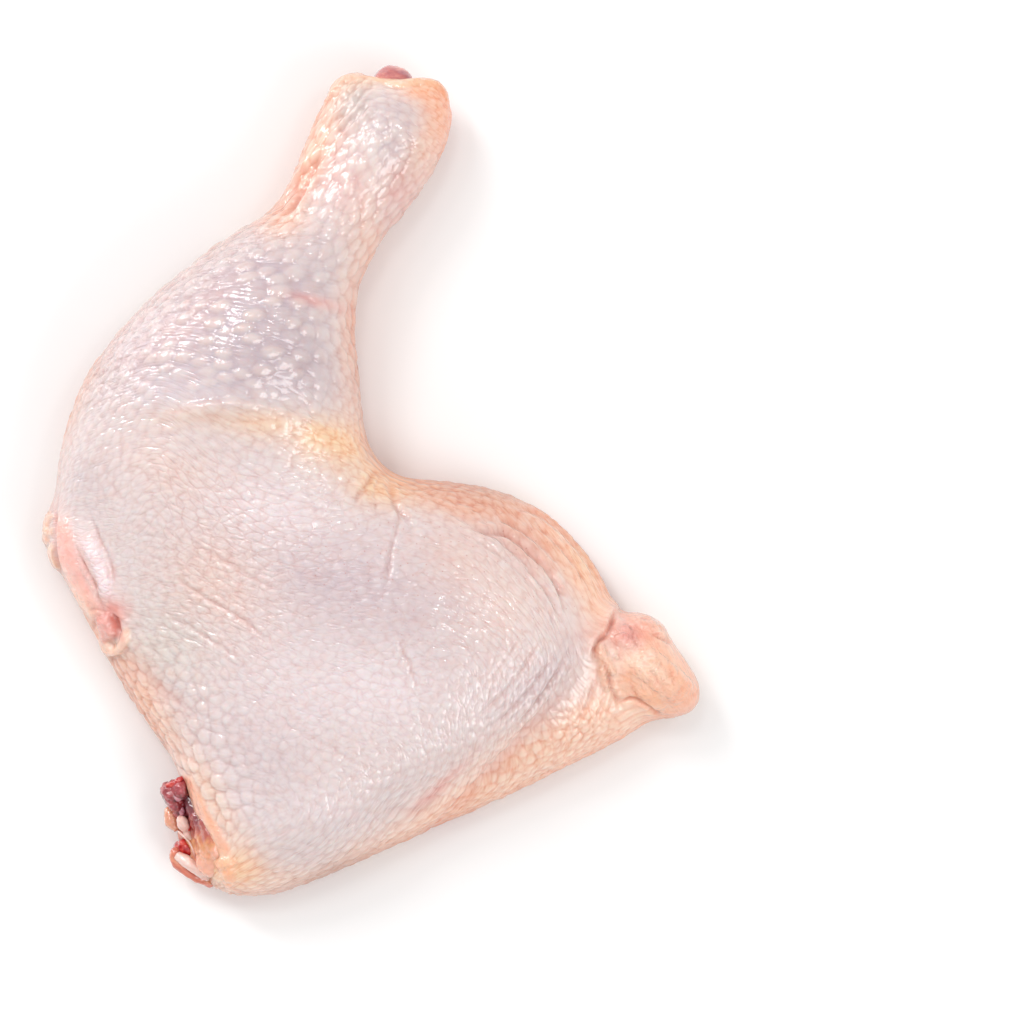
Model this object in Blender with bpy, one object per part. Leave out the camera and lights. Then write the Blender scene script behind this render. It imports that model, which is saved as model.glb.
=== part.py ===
"""A raw chicken leg quarter, skin side up: drumstick, thigh, a strip of the back and the tail.

The plan outline is drawn as one smooth loop. Skin is taken as a membrane blown up over that loop, which
gives a round shank and a broad, flatter thigh. Muscles, folds and valleys are then added to the height, and
lobes such as the tail are fused on. A rough block is made from those heights, remeshed into even faces and
pulled onto the form. The bone, cartilage and meat that show at the two cuts are solids of their own, set into
pockets. Lengths are in millimetres, and meshes are given theirs in metres.
"""

import math

import bpy
import numpy as np
from mathutils import Euler, Vector, noise

MM = 0.001

# Mesh sizes and gaps
PLAN_STEP = 1.0
PLAN_MARGIN = 8.0
BLOCK_STEP = 2
FACET = 3.5
SPAN_SAMPLES = 7
EVEN_ROUNDS = 6
SOFT_ROUNDS = 2
FIT_GAP = 0.4
LAID_FLAT = 0.12

# How the skin swells over the outline
SWELL_REACH = 18.0
EDGE_BAND = 4.0
HOLLOW_EDGE = 0.6
RELIEF_REACH = 8.0
LOBE_BLEND = 2.2

# The outline seen from above, clockwise, from the hock end. X is to the right and Y is towards the hock.
OUTLINE = {
    "hock end": [(-11.8, 97.0), (-9.8, 101.2), (-5.7, 103.2), (0.0, 102.9), (5.0, 101.7), (10.0, 101.6),
                 (15.6, 101.7), (19.0, 99.6), (20.9, 95.5), (21.0, 90.5), (18.4, 83.0)],
    "back of the shank": [(12.3, 72.5), (5.0, 63.9), (0.0, 56.5), (-3.6, 47.5)],
    "calf beside the hollow": [(-4.3, 39.4), (-3.6, 31.0), (-2.8, 23.1), (-1.2, 10.8)],
    "hollow between calf and flank": [(2.1, 5.6), (6.8, 2.0)],
    "flank skin": [(17.9, 1.2), (31.0, -0.6), (42.4, -5.5), (51.4, -12.5), (57.9, -22.3),
                   (61.2, -30.0)],
    "under the tail": [(63.0, -38.0), (68.0, -47.0), (73.0, -53.0), (72.5, -58.0)],
    "back": [(66.9, -62.3), (53.0, -69.6), (31.0, -80.3), (6.5, -91.0), (-16.0, -100.5), (-26.3, -103.6)],
    "corner by the cut": [(-33.5, -104.0), (-39.6, -102.0), (-42.8, -96.5)],
    "edge of the cut": [(-45.0, -86.5), (-47.0, -78.0), (-47.6, -71.5)],
    "front of the thigh": [(-55.0, -62.5), (-63.0, -50.0), (-70.3, -36.8), (-77.6, -24.0)],
    "fold beside the knee": [(-81.4, -18.0), (-82.8, -13.5), (-81.6, -9.0), (-79.4, -2.0)],
    "knee": [(-78.9, 6.0), (-76.3, 15.8), (-72.6, 25.5), (-66.0, 35.3)],
    "shin": [(-57.0, 45.0), (-47.3, 53.3), (-38.0, 60.3), (-28.5, 66.3), (-22.8, 70.4), (-20.0, 75.0),
             (-18.6, 81.0), (-15.6, 89.0)],
}

# Height of the widest level above the ground, and how far the side goes on down below it for each
# millimetre of swell: (x, y), height, turn, reach
MIDDLES = {
    "hock": ((5.0, 92.0), 12.0, 0.9, 16.0),
    "shank": ((-8.0, 72.0), 10.5, 0.9, 14.0),
    "calf": ((-30.0, 40.0), 12.5, 0.75, 24.0),
    "knee": ((-62.0, 4.0), 8.5, 0.6, 20.0),
    "thigh": ((0.0, -35.0), 8.0, 0.55, 34.0),
    "front of the thigh": ((-62.0, -48.0), 6.0, 0.5, 18.0),
    "flank": ((50.0, -15.0), 5.5, 0.5, 16.0),
    "back": ((30.0, -76.0), 6.5, 0.5, 24.0),
    "tail root": ((68.0, -52.0), 6.0, 0.6, 12.0),
    "cut": ((-42.0, -88.0), 7.0, 0.6, 12.0),
}

# Rounded masses on the top: centre, radii along and across, turn in degrees, height
MOUNDS = {
    "calf": ((-31.0, 38.0), (36.0, 20.0), 51.0, 7.5),
    "shank tendon": ((-10.0, 72.0), (16.0, 5.0), 48.0, 1.0),
    "hock joint": ((6.0, 90.0), (11.0, 12.0), 60.0, 2.0),
    "knee": ((-62.0, 2.0), (18.0, 15.0), 70.0, 1.5),
    "fat ridge": ((-8.0, 11.0), (26.0, 8.0), -17.0, 2.5),
    "thigh": ((8.0, -30.0), (44.0, 30.0), -22.0, 5.0),
    "thigh towards the cut": ((-22.0, -72.0), (24.0, 18.0), -30.0, 1.5),
    "front of the thigh": ((-50.0, -30.0), (26.0, 12.0), -60.0, -2.0),
    "skin over the knee side": ((-71.0, -22.0), (15.0, 5.5), -69.0, 3.0),
    "flank": ((47.0, -14.0), (20.0, 9.0), -42.0, -6.0),
    "back strip": ((38.0, -72.0), (40.0, 8.0), 26.0, -3.5),
    "lumps by the cut": ((-43.0, -72.0), (7.0, 5.0), -40.0, 1.5),
    "fat at the corner": ((-37.0, -96.5), (4.0, 4.0), 0.0, 1.5),
}

# Soft valleys and folds on the top: points along them, half width, depth
FOLDS = {
    "between calf and thigh": ([(-46.0, 16.0), (-30.0, 20.0), (-14.0, 17.0), (-2.0, 9.0)], 5.0, 1.6),
    "between thigh and back": ([(-6.0, -86.0), (18.0, -78.0), (38.0, -66.0), (52.0, -50.0), (57.0, -38.0)],
                               5.5, 4.0),
    "thigh and flank": ([(12.0, -1.0), (28.0, -7.0), (43.0, -19.0), (51.0, -33.0), (54.0, -44.0)], 4.0, 2.6),
    "knee side pocket": ([(-74.0, -3.0), (-69.0, -12.0), (-65.0, -24.0), (-63.5, -34.0)], 2.6, 3.0),
    "shank front": ([(-24.0, 65.0), (-14.0, 73.0), (-10.0, 84.0), (-8.0, 94.0)], 2.6, 1.6),
    "around the tail": ([(60.0, -33.0), (57.0, -44.0), (61.0, -52.0), (70.0, -57.0)], 3.0, 3.0),
}

# Hollows of the cut side, which lies on the table: centre, radii, turn, depth
UNDER_HOLLOWS = {
    "beside the back bone": ((12.0, -66.0), (46.0, 9.0), 26.0, 6.0),
    "between thigh muscles": ((4.0, -30.0), (26.0, 6.0), -38.0, 4.0),
    "behind the knee": ((-26.0, 6.0), (20.0, 8.0), 20.0, 4.0),
    "along the shin": ((-44.0, 34.0), (26.0, 5.0), 49.0, 3.0),
    "under the flank": ((44.0, -20.0), (18.0, 8.0), -42.0, 4.0),
}

# Lobes fused to the leg: centre, radii, turn about Z and tilt, in degrees
LOBES = {
    "tail": ((70.0, -46.6, 12.5), (15.0, 8.6, 9.5), -40.0, 4.0),
    "tail tip": ((76.4, -52.9, 10.5), (6.6, 6.2, 8.0), -40.0, 0.0),
    "tail top": ((67.6, -37.8, 12.5), (8.2, 5.6, 8.5), -28.0, 0.0),
    "tail side": ((60.5, -40.4, 15.5), (4.6, 5.4, 6.5), -40.0, 0.0),
    "tail root fold": ((58.6, -47.6, 17.0), (2.6, 5.6, 4.0), -60.0, 0.0),
    "knee fold high": ((-79.4, -9.4, 10.0), (2.6, 3.8, 4.4), 15.0, 0.0),
    "knee fold low": ((-78.6, -15.6, 9.0), (3.4, 4.4, 5.0), 20.0, 0.0),
    "pocket lip": ((-64.2, -38.4, 13.5), (3.6, 3.0, 3.4), 10.0, 0.0),
    "skin lump by the cut": ((-46.0, -70.6, 12.0), (4.2, 3.4, 4.4), -40.0, 0.0),
    "fat corner": ((-38.6, -97.4, 11.5), (4.4, 4.0, 4.6), 30.0, 0.0),
}

# What shows at the cuts: centre, radii, turn about Z and tilt in degrees, roughness of the surface
CUT_PIECES = {
    "spine_bone": ((-48.6, -78.4, 9.6), (4.4, 5.4, 6.4), 20.0, 0.0, 0.22),
    "cartilage_nub": ((-48.2, -85.9, 12.6), (2.3, 2.5, 2.6), 0.0, 0.0, 0.08),
    "rib_end": ((-45.2, -95.8, 11.6), (6.2, 1.9, 2.1), -37.0, -6.0, 0.05),
    "rib_meat": ((-46.6, -97.3, 7.2), (6.6, 2.6, 4.0), -40.0, 0.0, 0.12),
    "cut_meat": ((-44.2, -87.6, 8.4), (10.6, 4.8, 6.2), -66.0, 0.0, 0.14),
    "hock_cartilage": ((5.4, 99.6, 14.6), (4.7, 5.4, 6.0), 0.0, 0.0, 0.06),
}

SKIN = ("raw_skin", (0.80, 0.62, 0.55), 0.34)
CUT_FINISHES = {
    "spine_bone": ("marrow", (0.36, 0.04, 0.05), 0.2),
    "cartilage_nub": ("cartilage", (0.84, 0.66, 0.62), 0.25),
    "rib_end": ("cartilage", (0.84, 0.66, 0.62), 0.25),
    "rib_meat": ("dark_meat", (0.62, 0.20, 0.13), 0.28),
    "cut_meat": ("dark_meat", (0.62, 0.20, 0.13), 0.28),
    "hock_cartilage": ("joint_cap", (0.58, 0.22, 0.22), 0.2),
}


def smooth_curve(points, closed):
    """Points along a Catmull-Rom curve through the given ones."""
    points = np.array(points, float)
    if closed:
        ends = np.vstack([points[-1:], points, points[:2]])
    else:
        ends = np.vstack([2 * points[0] - points[1], points, 2 * points[-1] - points[-2]])
    curve = []
    for before, start, end, after in zip(ends, ends[1:], ends[2:], ends[3:]):
        for t in np.arange(SPAN_SAMPLES) / SPAN_SAMPLES:
            curve.append(0.5 * (2 * start + (end - before) * t
                                + (2 * before - 5 * start + 4 * end - after) * t ** 2
                                + (3 * start - before - 3 * end + after) * t ** 3))
    return np.array(curve if closed else curve + [points[-1]])


def distance_to(curve, x, y, closed=False):
    """Distance of each plan point to the curve and, for a closed one, whether the point is inside."""
    nearest = np.full(x.shape, np.inf)
    inside = np.zeros(x.shape, bool)
    following = np.roll(curve, -1, axis=0) if closed else curve[1:]
    for (ax, ay), (bx, by) in zip(curve, following):
        dx, dy = bx - ax, by - ay
        along = np.clip(((x - ax) * dx + (y - ay) * dy) / (dx * dx + dy * dy + 1e-12), 0, 1)
        nearest = np.minimum(nearest, (x - ax - along * dx) ** 2 + (y - ay - along * dy) ** 2)
        if closed and ay != by:
            inside ^= ((ay > y) != (by > y)) & (x < ax + (y - ay) * dx / dy)
    return np.sqrt(nearest), inside


def spread(values, rounds):
    """Each value averaged with its four neighbours, several times."""
    for _ in range(rounds):
        edged = np.pad(values, 1, mode="edge")
        values = (values * 4 + edged[1:-1, :-2] + edged[1:-1, 2:] + edged[:-2, 1:-1] + edged[2:, 1:-1]) / 8
    return values


def swell_of(distance, inside):
    """Height squared of a membrane blown up over the outline, on a soft bed. It is negative outside."""
    stiffness = (PLAN_STEP / SWELL_REACH) ** 2
    lift = np.where(inside, SWELL_REACH ** 2 * (1 - np.exp(-distance / SWELL_REACH)), 0.0)
    for _ in range(int(30 * SWELL_REACH / PLAN_STEP)):
        around = lift[1:-1, :-2] + lift[1:-1, 2:] + lift[:-2, 1:-1] + lift[2:, 1:-1]
        lift[1:-1, 1:-1] = np.where(inside[1:-1, 1:-1], (around + PLAN_STEP ** 2) / (4 + stiffness), 0.0)
    # Near the edge it is taken as slope times true distance, so that the rim is as smooth as the loop.
    sure = inside & (distance > EDGE_BAND * PLAN_STEP)
    slope = np.where(sure, 2 * lift / np.maximum(distance, PLAN_STEP), 0.0)
    share = sure.astype(float)
    rounds = int(4 * (PLAN_MARGIN + EDGE_BAND) / PLAN_STEP)
    for _ in range(rounds):
        spread_slope, spread_share = spread(slope, 1), spread(share, 1)
        slope = np.where(sure, slope, spread_slope)
        share = np.where(sure, share, spread_share)
    return slope / np.maximum(share, 1e-6) * np.where(inside, distance, -distance)


def mound(x, y, centre, radii, turn):
    """A rounded mass: 1 at its centre, falling to nothing past its radii."""
    cosine, sine = math.cos(math.radians(turn)), math.sin(math.radians(turn))
    dx, dy = x - centre[0], y - centre[1]
    along, across = dx * cosine + dy * sine, dy * cosine - dx * sine
    return np.exp(-(along / radii[0]) ** 2 - (across / radii[1]) ** 2)


def fold(x, y, points, half_width):
    """A valley along a smooth line, which fades out at its two ends."""
    curve = smooth_curve(points, closed=False)
    away, _ = distance_to(curve, x, y)
    start, end = np.hypot(x - curve[0][0], y - curve[0][1]), np.hypot(x - curve[-1][0], y - curve[-1][1])
    fade = np.clip(np.minimum(start, end) / (3 * half_width), 0, 1)
    return np.exp(-(away / half_width) ** 2) * fade ** 2 * (3 - 2 * fade)


class LegForm:
    """The leg's exact surface, as heights over a plan grid with lobes fused on."""

    def __init__(self):
        loop = smooth_curve([point for stretch in OUTLINE.values() for point in stretch], closed=True)
        self.low = loop.min(0) - PLAN_MARGIN
        count = np.ceil((loop.max(0) + PLAN_MARGIN - self.low) / PLAN_STEP).astype(int) + 1
        x, y = np.meshgrid(self.low[0] + np.arange(count[0]) * PLAN_STEP,
                           self.low[1] + np.arange(count[1]) * PLAN_STEP)
        distance, inside = distance_to(loop, x, y, closed=True)
        self.swell = swell_of(distance, inside)
        self.middle, self.under = self.blended_middle(x, y)
        relief = sum(height * mound(x, y, centre, radii, turn)
                     for centre, radii, turn, height in MOUNDS.values())
        relief = relief - sum(depth * fold(x, y, points, half_width)
                              for points, half_width, depth in FOLDS.values())
        height = np.sqrt(np.maximum(self.swell, 0))
        self.rise = 1.0 + relief / np.maximum(height, RELIEF_REACH)
        hollow = sum(depth * mound(x, y, centre, radii, turn)
                     for centre, radii, turn, depth in UNDER_HOLLOWS.values())
        hollow = np.maximum(hollow - HOLLOW_EDGE, 0)
        self.ground = hollow ** 2 / (hollow + HOLLOW_EDGE)
        self.x, self.y = x, y

    @staticmethod
    def blended_middle(x, y):
        """The widest level's height and the turn below it, blended between the named places."""
        height, under, weights = 0.0, 0.0, 0.0
        for centre, level, turn, reach in MIDDLES.values():
            weight = 1e-6 + np.exp(-((x - centre[0]) ** 2 + (y - centre[1]) ** 2) / (2 * reach ** 2))
            height, under, weights = height + weight * level, under + weight * turn, weights + weight
        return height / weights, under / weights

    def look_up(self, field, points):
        """The field's value under each point, between the four grid values around it."""
        place = (points[:, :2] - self.low) / PLAN_STEP
        limit = np.array(field.shape[::-1]) - 1.001
        place = np.clip(place, 0, limit)
        cell = place.astype(int)
        part = place - cell
        column, row = cell.T
        right, up = part.T
        return ((field[row, column] * (1 - right) + field[row, column + 1] * right) * (1 - up)
                + (field[row + 1, column] * (1 - right) + field[row + 1, column + 1] * right) * up)

    def body(self, points):
        """Positive inside the swollen outline. It has no even scale, which depth() gives it."""
        swell = self.look_up(self.swell, points)
        above = points[:, 2] - self.look_up(self.middle, points)
        rise = np.maximum(self.look_up(self.rise, points), 0.2)
        return swell - (above / np.where(above > 0, rise, self.look_up(self.under, points))) ** 2

    def depth(self, points):
        """About how deep each point lies under the surface. It is negative outside."""
        body = self.body(points)
        slope = gradient(self.body, points)
        inside = body / np.maximum(np.linalg.norm(slope, axis=1), 1.0)
        for centre, radii, turn, tilt in LOBES.values():
            spin = np.array(Euler((0.0, math.radians(tilt), math.radians(turn))).to_matrix())
            scaled = ((points - centre) @ spin) / radii
            length = np.linalg.norm(scaled, axis=1)
            steep = np.linalg.norm(scaled / radii, axis=1)
            lobe = (1 - length) * length / np.maximum(steep, 1e-6)
            near = np.maximum(LOBE_BLEND - np.abs(inside - lobe), 0)
            inside = np.maximum(inside, lobe) + near ** 2 / (4 * LOBE_BLEND)
        return np.minimum(inside, points[:, 2] - self.look_up(self.ground, points))

    def pull(self, points):
        """The points moved onto the surface."""
        for _ in range(4):
            slope = gradient(self.depth, points)
            length = np.maximum((slope ** 2).sum(1), 0.2)
            step = -self.depth(points) / length
            points = points + slope * np.clip(step, -FACET, FACET)[:, None]
        return points

    def rough_block(self):
        """Corner points and faces of a stepped block with about the leg's heights."""
        cells = slice(None, None, BLOCK_STEP)
        x, y, swell = self.x[cells, cells], self.y[cells, cells], self.swell[cells, cells]
        height = np.sqrt(np.maximum(swell, 0))
        top = self.middle[cells, cells] + height * self.rise[cells, cells]
        bottom = self.middle[cells, cells] - height * self.under[cells, cells]
        bottom = np.maximum(bottom, self.ground[cells, cells])
        top = np.maximum(top, bottom + 1.0)
        kept = swell > 0
        full = kept[:-1, :-1] & kept[1:, :-1] & kept[:-1, 1:] & kept[1:, 1:]
        rows, columns = x.shape
        index = np.arange(rows * columns).reshape(rows, columns)
        lower = rows * columns
        faces = []
        for row, column in zip(*np.nonzero(full)):
            corners = [index[row, column], index[row, column + 1],
                       index[row + 1, column + 1], index[row + 1, column]]
            faces.append(corners)
            faces.append([corner + lower for corner in reversed(corners)])
            sides = [(row - 1, column), (row, column + 1), (row + 1, column), (row, column - 1)]
            for turn, side in enumerate(sides):
                if not full[side]:
                    start, end = corners[turn], corners[(turn + 1) % 4]
                    faces.append([end, start, start + lower, end + lower])
        sheets = [np.stack([x, y, z], axis=-1).reshape(-1, 3) for z in (top, bottom)]
        return np.vstack(sheets), faces


def gradient(function, points, step=0.05):
    """The function's slope along X, Y and Z at each point."""
    slopes = [function(points + shift) - function(points - shift) for shift in np.eye(3) * step]
    return np.stack(slopes, axis=1) / (2 * step)


def object_from(name, points, faces):
    """A linked object from points in millimetres. Points that no face uses are left out."""
    used, compact = np.unique(np.concatenate(faces), return_inverse=True)
    starts = np.cumsum([0] + [len(face) for face in faces])
    faces = [compact[start:end].tolist() for start, end in zip(starts, starts[1:])]
    mesh = bpy.data.meshes.new(name)
    mesh.from_pydata((np.asarray(points)[used] * MM).tolist(), [], faces)
    made = bpy.data.objects.new(name, mesh)
    bpy.context.scene.collection.objects.link(made)
    return made


def points_of(mesh):
    """The mesh's points in millimetres."""
    places = np.empty(len(mesh.vertices) * 3)
    mesh.vertices.foreach_get("co", places)
    return places.reshape(-1, 3) / MM


def set_points(mesh, points):
    mesh.vertices.foreach_set("co", (points * MM).ravel())
    mesh.update()


def apply_modifiers(made):
    """The object's mesh replaced by what its modifiers make of it."""
    graph = bpy.context.evaluated_depsgraph_get()
    mesh = bpy.data.meshes.new_from_object(made.evaluated_get(graph))
    made.modifiers.clear()
    made.data = mesh


def finish_with(made, finish):
    """One material per finish, shared by the objects that have it."""
    name, colour, roughness = finish
    material = bpy.data.materials.get(name)
    if material is None:
        material = bpy.data.materials.new(name)
        material.use_nodes = True
        shader = material.node_tree.nodes["Principled BSDF"]
        shader.inputs["Base Color"].default_value = (*colour, 1.0)
        shader.inputs["Roughness"].default_value = roughness
        shader.inputs["Subsurface Weight"].default_value = 0.3
    made.data.materials.clear()
    made.data.materials.append(material)
    made.data.shade_smooth()


def relaxed(mesh, points):
    """Each point moved halfway to the middle of its neighbours."""
    edges = np.empty(len(mesh.edges) * 2, int)
    mesh.edges.foreach_get("vertices", edges)
    first, second = edges.reshape(-1, 2).T
    total, count = np.zeros_like(points), np.zeros(len(points))
    for here, there in ((first, second), (second, first)):
        np.add.at(total, here, points[there])
        np.add.at(count, here, 1)
    return (points + total / count[:, None]) / 2


def make_leg():
    """The skin-covered leg, with the tail and the folds in one piece."""
    form = LegForm()
    leg = object_from("leg", *form.rough_block())
    for centre, radii, turn, tilt in LOBES.values():
        lobe = make_lump("lobe", centre, radii, turn, tilt, roughness=0.0)
        join_into(leg, lobe)
    remesh = leg.modifiers.new("even faces", "REMESH")
    remesh.mode = "VOXEL"
    remesh.voxel_size = FACET * MM
    apply_modifiers(leg)
    points = points_of(leg.data)
    for _ in range(EVEN_ROUNDS):
        points = form.pull(relaxed(leg.data, points))
    for _ in range(SOFT_ROUNDS):
        points = relaxed(leg.data, points)
    points[:, 2] = np.where(points[:, 2] < LAID_FLAT, 0.0, points[:, 2])
    set_points(leg.data, points)
    finish_with(leg, SKIN)
    return leg


def join_into(target, other):
    with bpy.context.temp_override(active_object=target, selected_editable_objects=[target, other]):
        bpy.ops.object.join()


def make_lump(name, centre, radii, turn, tilt, roughness, grown=0.0):
    """A rounded lump with an uneven surface, such as cut meat or the end of a bone."""
    bpy.ops.mesh.primitive_ico_sphere_add(subdivisions=3, radius=1.0)
    lump = bpy.context.object
    lump.name = name
    spin = Euler((0.0, math.radians(tilt), math.radians(turn))).to_matrix()
    for vertex in lump.data.vertices:
        uneven = 1 + roughness * noise.noise(vertex.co * 1.7 + Vector(centre))
        scaled = Vector(way * (radius * uneven + grown) for way, radius in zip(vertex.co, radii))
        vertex.co = (spin @ scaled + Vector(centre)) * MM
    return lump


def make_cut_pieces():
    """Bone, cartilage and meat at the cuts. Each is cut back from those before it, with a gap all round."""
    pieces, cutters = [], []
    for name, (centre, radii, turn, tilt, roughness) in CUT_PIECES.items():
        piece = make_lump(name, centre, radii, turn, tilt, roughness)
        carve(piece, cutters)
        finish_with(piece, CUT_FINISHES[name])
        cutter = make_lump(name + "_room", centre, radii, turn, tilt, roughness, grown=FIT_GAP)
        cutter.hide_render = True
        cutter.display_type = "WIRE"
        pieces.append(piece)
        cutters.append(cutter)
    return pieces, cutters


def carve(target, cutters):
    """Cuts room for the cutters out of the target."""
    for cutter in cutters:
        room = target.modifiers.new("room for " + cutter.name, "BOOLEAN")
        room.operation = "DIFFERENCE"
        room.solver = "EXACT"
        room.object = cutter
    apply_modifiers(target)


def centre_over_origin(pieces):
    """Puts the middle of the whole part's box over the origin."""
    places = np.vstack([points_of(piece.data) for piece in pieces])
    middle = (places.min(0) + places.max(0)) / 2
    shift = np.array([middle[0], middle[1], places[:, 2].min()])
    for piece in pieces:
        set_points(piece.data, points_of(piece.data) - shift)
    print("moved by", np.round(-shift, 3), "mm to centre the part")


def main():
    for old in list(bpy.data.objects):
        bpy.data.objects.remove(old)
    leg = make_leg()
    pieces, cutters = make_cut_pieces()
    carve(leg, cutters)
    for cutter in cutters:
        bpy.data.objects.remove(cutter)
    centre_over_origin([leg] + pieces)


main()
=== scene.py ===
import math

import bmesh
import bpy
import numpy as np
from mathutils import Euler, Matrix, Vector, noise
from mathutils.bvhtree import BVHTree


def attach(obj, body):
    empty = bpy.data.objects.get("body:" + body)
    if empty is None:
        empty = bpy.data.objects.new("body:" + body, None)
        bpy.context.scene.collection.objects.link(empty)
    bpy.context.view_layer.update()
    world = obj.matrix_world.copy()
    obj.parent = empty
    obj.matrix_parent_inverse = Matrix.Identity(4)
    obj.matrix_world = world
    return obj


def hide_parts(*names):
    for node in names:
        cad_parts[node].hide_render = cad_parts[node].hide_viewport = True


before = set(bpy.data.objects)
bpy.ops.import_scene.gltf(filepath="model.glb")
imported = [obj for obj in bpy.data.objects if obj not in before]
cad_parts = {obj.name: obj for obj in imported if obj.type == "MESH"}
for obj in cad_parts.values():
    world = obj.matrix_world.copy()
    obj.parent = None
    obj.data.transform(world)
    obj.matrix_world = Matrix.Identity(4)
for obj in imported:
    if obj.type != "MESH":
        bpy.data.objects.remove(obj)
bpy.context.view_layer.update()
mm = 0.001
print("frame loaded,", len(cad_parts), "solids")

# Places on the leg are in millimetres from the hollow behind the knee: X to the right, Y towards the hock, Z up.
# The frame has its own origin under the middle of the leg, this far away.
hollowInFrame = np.array([-0.033, -0.745, 0.0])


def linearOf(hexColour):
    # an sRGB hex value as a linear colour
    parts = [int(hexColour[i:i + 2], 16) / 255 for i in (1, 3, 5)]
    return tuple(c / 12.92 if c < 0.04045 else ((c + 0.055) / 1.055) ** 2.4 for c in parts) + (1.0,)


def setInputs(node, inputs):
    # another node's socket is linked, and anything else is the input's own value
    for name, value in inputs.items():
        if isinstance(value, bpy.types.NodeSocket):
            node.id_data.links.new(value, node.inputs[name])
        else:
            node.inputs[name].default_value = value


def addNode(tree, kind, inputs, output=0, **settings):
    # adds a node with its settings and links, and gives one of its outputs
    node = tree.nodes.new("ShaderNode" + kind)
    for name, value in settings.items():
        setattr(node, name, value)
    setInputs(node, inputs)
    return node.outputs[output]


def newMaterial(name):
    material = bpy.data.materials.new(name)
    material.use_nodes = True
    return material, material.node_tree, material.node_tree.nodes["Principled BSDF"]


def readAll(items, part, width, kind=float):
    flat = np.empty(len(items) * width, kind)
    items.foreach_get(part, flat)
    return flat.reshape(-1, width)


def pointsOf(mesh):
    return readAll(mesh.vertices, "co", 3) / mm - hollowInFrame


def placePoints(mesh, points):
    mesh.vertices.foreach_set("co", ((points + hollowInFrame) * mm).ravel())
    mesh.update()


def edgesOf(mesh):
    return readAll(mesh.edges, "vertices", 2, int)


def eased(values, edges, rounds):
    # each value moves half of the way to the mean of its neighbours
    count = np.bincount(edges.ravel(), minlength=len(values))[:, None]
    flat = values.astype(float)
    for _ in range(rounds):
        total = np.zeros_like(flat)
        for k in range(flat.shape[1]):
            total[:, k] = (np.bincount(edges[:, 0], flat[edges[:, 1], k], len(flat))
                           + np.bincount(edges[:, 1], flat[edges[:, 0], k], len(flat)))
        flat = flat * 0.5 + total / count * 0.5
    return flat


def smoothLine(points, steps=6):
    # a curve through the points, with this many steps from each to the next
    points = np.array(points, float)
    ends = np.vstack([2 * points[0] - points[1], points, 2 * points[-1] - points[-2]])
    line = []
    for a, b, c, d in zip(ends, ends[1:], ends[2:], ends[3:]):
        for t in np.arange(steps) / steps:
            line.append(0.5 * (2 * b + (c - a) * t + (2 * a - 5 * b + 4 * c - d) * t ** 2
                               + (3 * b - a - 3 * c + d) * t ** 3))
    return np.array(line + [points[-1]])


def blob(q, x, y, reachAlong, reachAcross, turn=0):
    # 1 at the place, falling away past its reach
    cosine, sine = math.cos(math.radians(turn)), math.sin(math.radians(turn))
    dx, dy = q[..., 0] - x, q[..., 1] - y
    along, across = dx * cosine + dy * sine, dy * cosine - dx * sine
    return np.exp(-(along / reachAlong) ** 2 - (across / reachAcross) ** 2)


def stroke(q, points, reach):
    # signed distance to a smooth line, and a fade towards its two ends; only points near it are worked out
    line = smoothLine(points)
    low, high = line.min(0) - reach, line.max(0) + reach
    near = np.nonzero(((q > low) & (q < high)).all(1))[0]
    best = np.full(len(near), np.inf)
    signed = np.zeros(len(near))
    run = np.zeros(len(near))
    lengths = np.concatenate([[0], np.cumsum(np.linalg.norm(np.diff(line, axis=0), axis=1))])
    for a, b, start in zip(line, line[1:], lengths):
        way = b - a
        size = max(way @ way, 1e-9)
        offset = q[near] - a
        t = np.clip((offset @ way) / size, 0, 1)
        apart = offset - t[:, None] * way
        distance = np.hypot(apart[:, 0], apart[:, 1])
        closer = distance < best
        best[closer] = distance[closer]
        side = np.sign(way[0] * offset[:, 1] - way[1] * offset[:, 0])
        signed[closer] = (distance * side)[closer]
        run[closer] = (start + t * math.sqrt(size))[closer]
    faded = 0.3 * lengths[-1]
    fade = np.clip(np.minimum(run, lengths[-1] - run) / faded, 0, 1)
    return near, signed, fade * fade * (3 - 2 * fade)


def newPiece(name, made):
    # a finished bmesh becomes an object in the scene
    mesh = bpy.data.meshes.new(name)
    made.to_mesh(mesh)
    made.free()
    piece = bpy.data.objects.new(name, mesh)
    bpy.context.scene.collection.objects.link(piece)
    return piece


def roundLump(centre, radii, turn, tilt=0):
    made = bmesh.new()
    bmesh.ops.create_icosphere(made, subdivisions=3, radius=1.0)
    spin = Euler((0.0, math.radians(tilt), math.radians(turn))).to_matrix()
    for vertex in made.verts:
        scaled = Vector(way * radius for way, radius in zip(vertex.co, radii))
        vertex.co = (spin @ scaled + Vector(centre) + Vector(hollowInFrame)) * mm
    return newPiece("lump", made)


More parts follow.
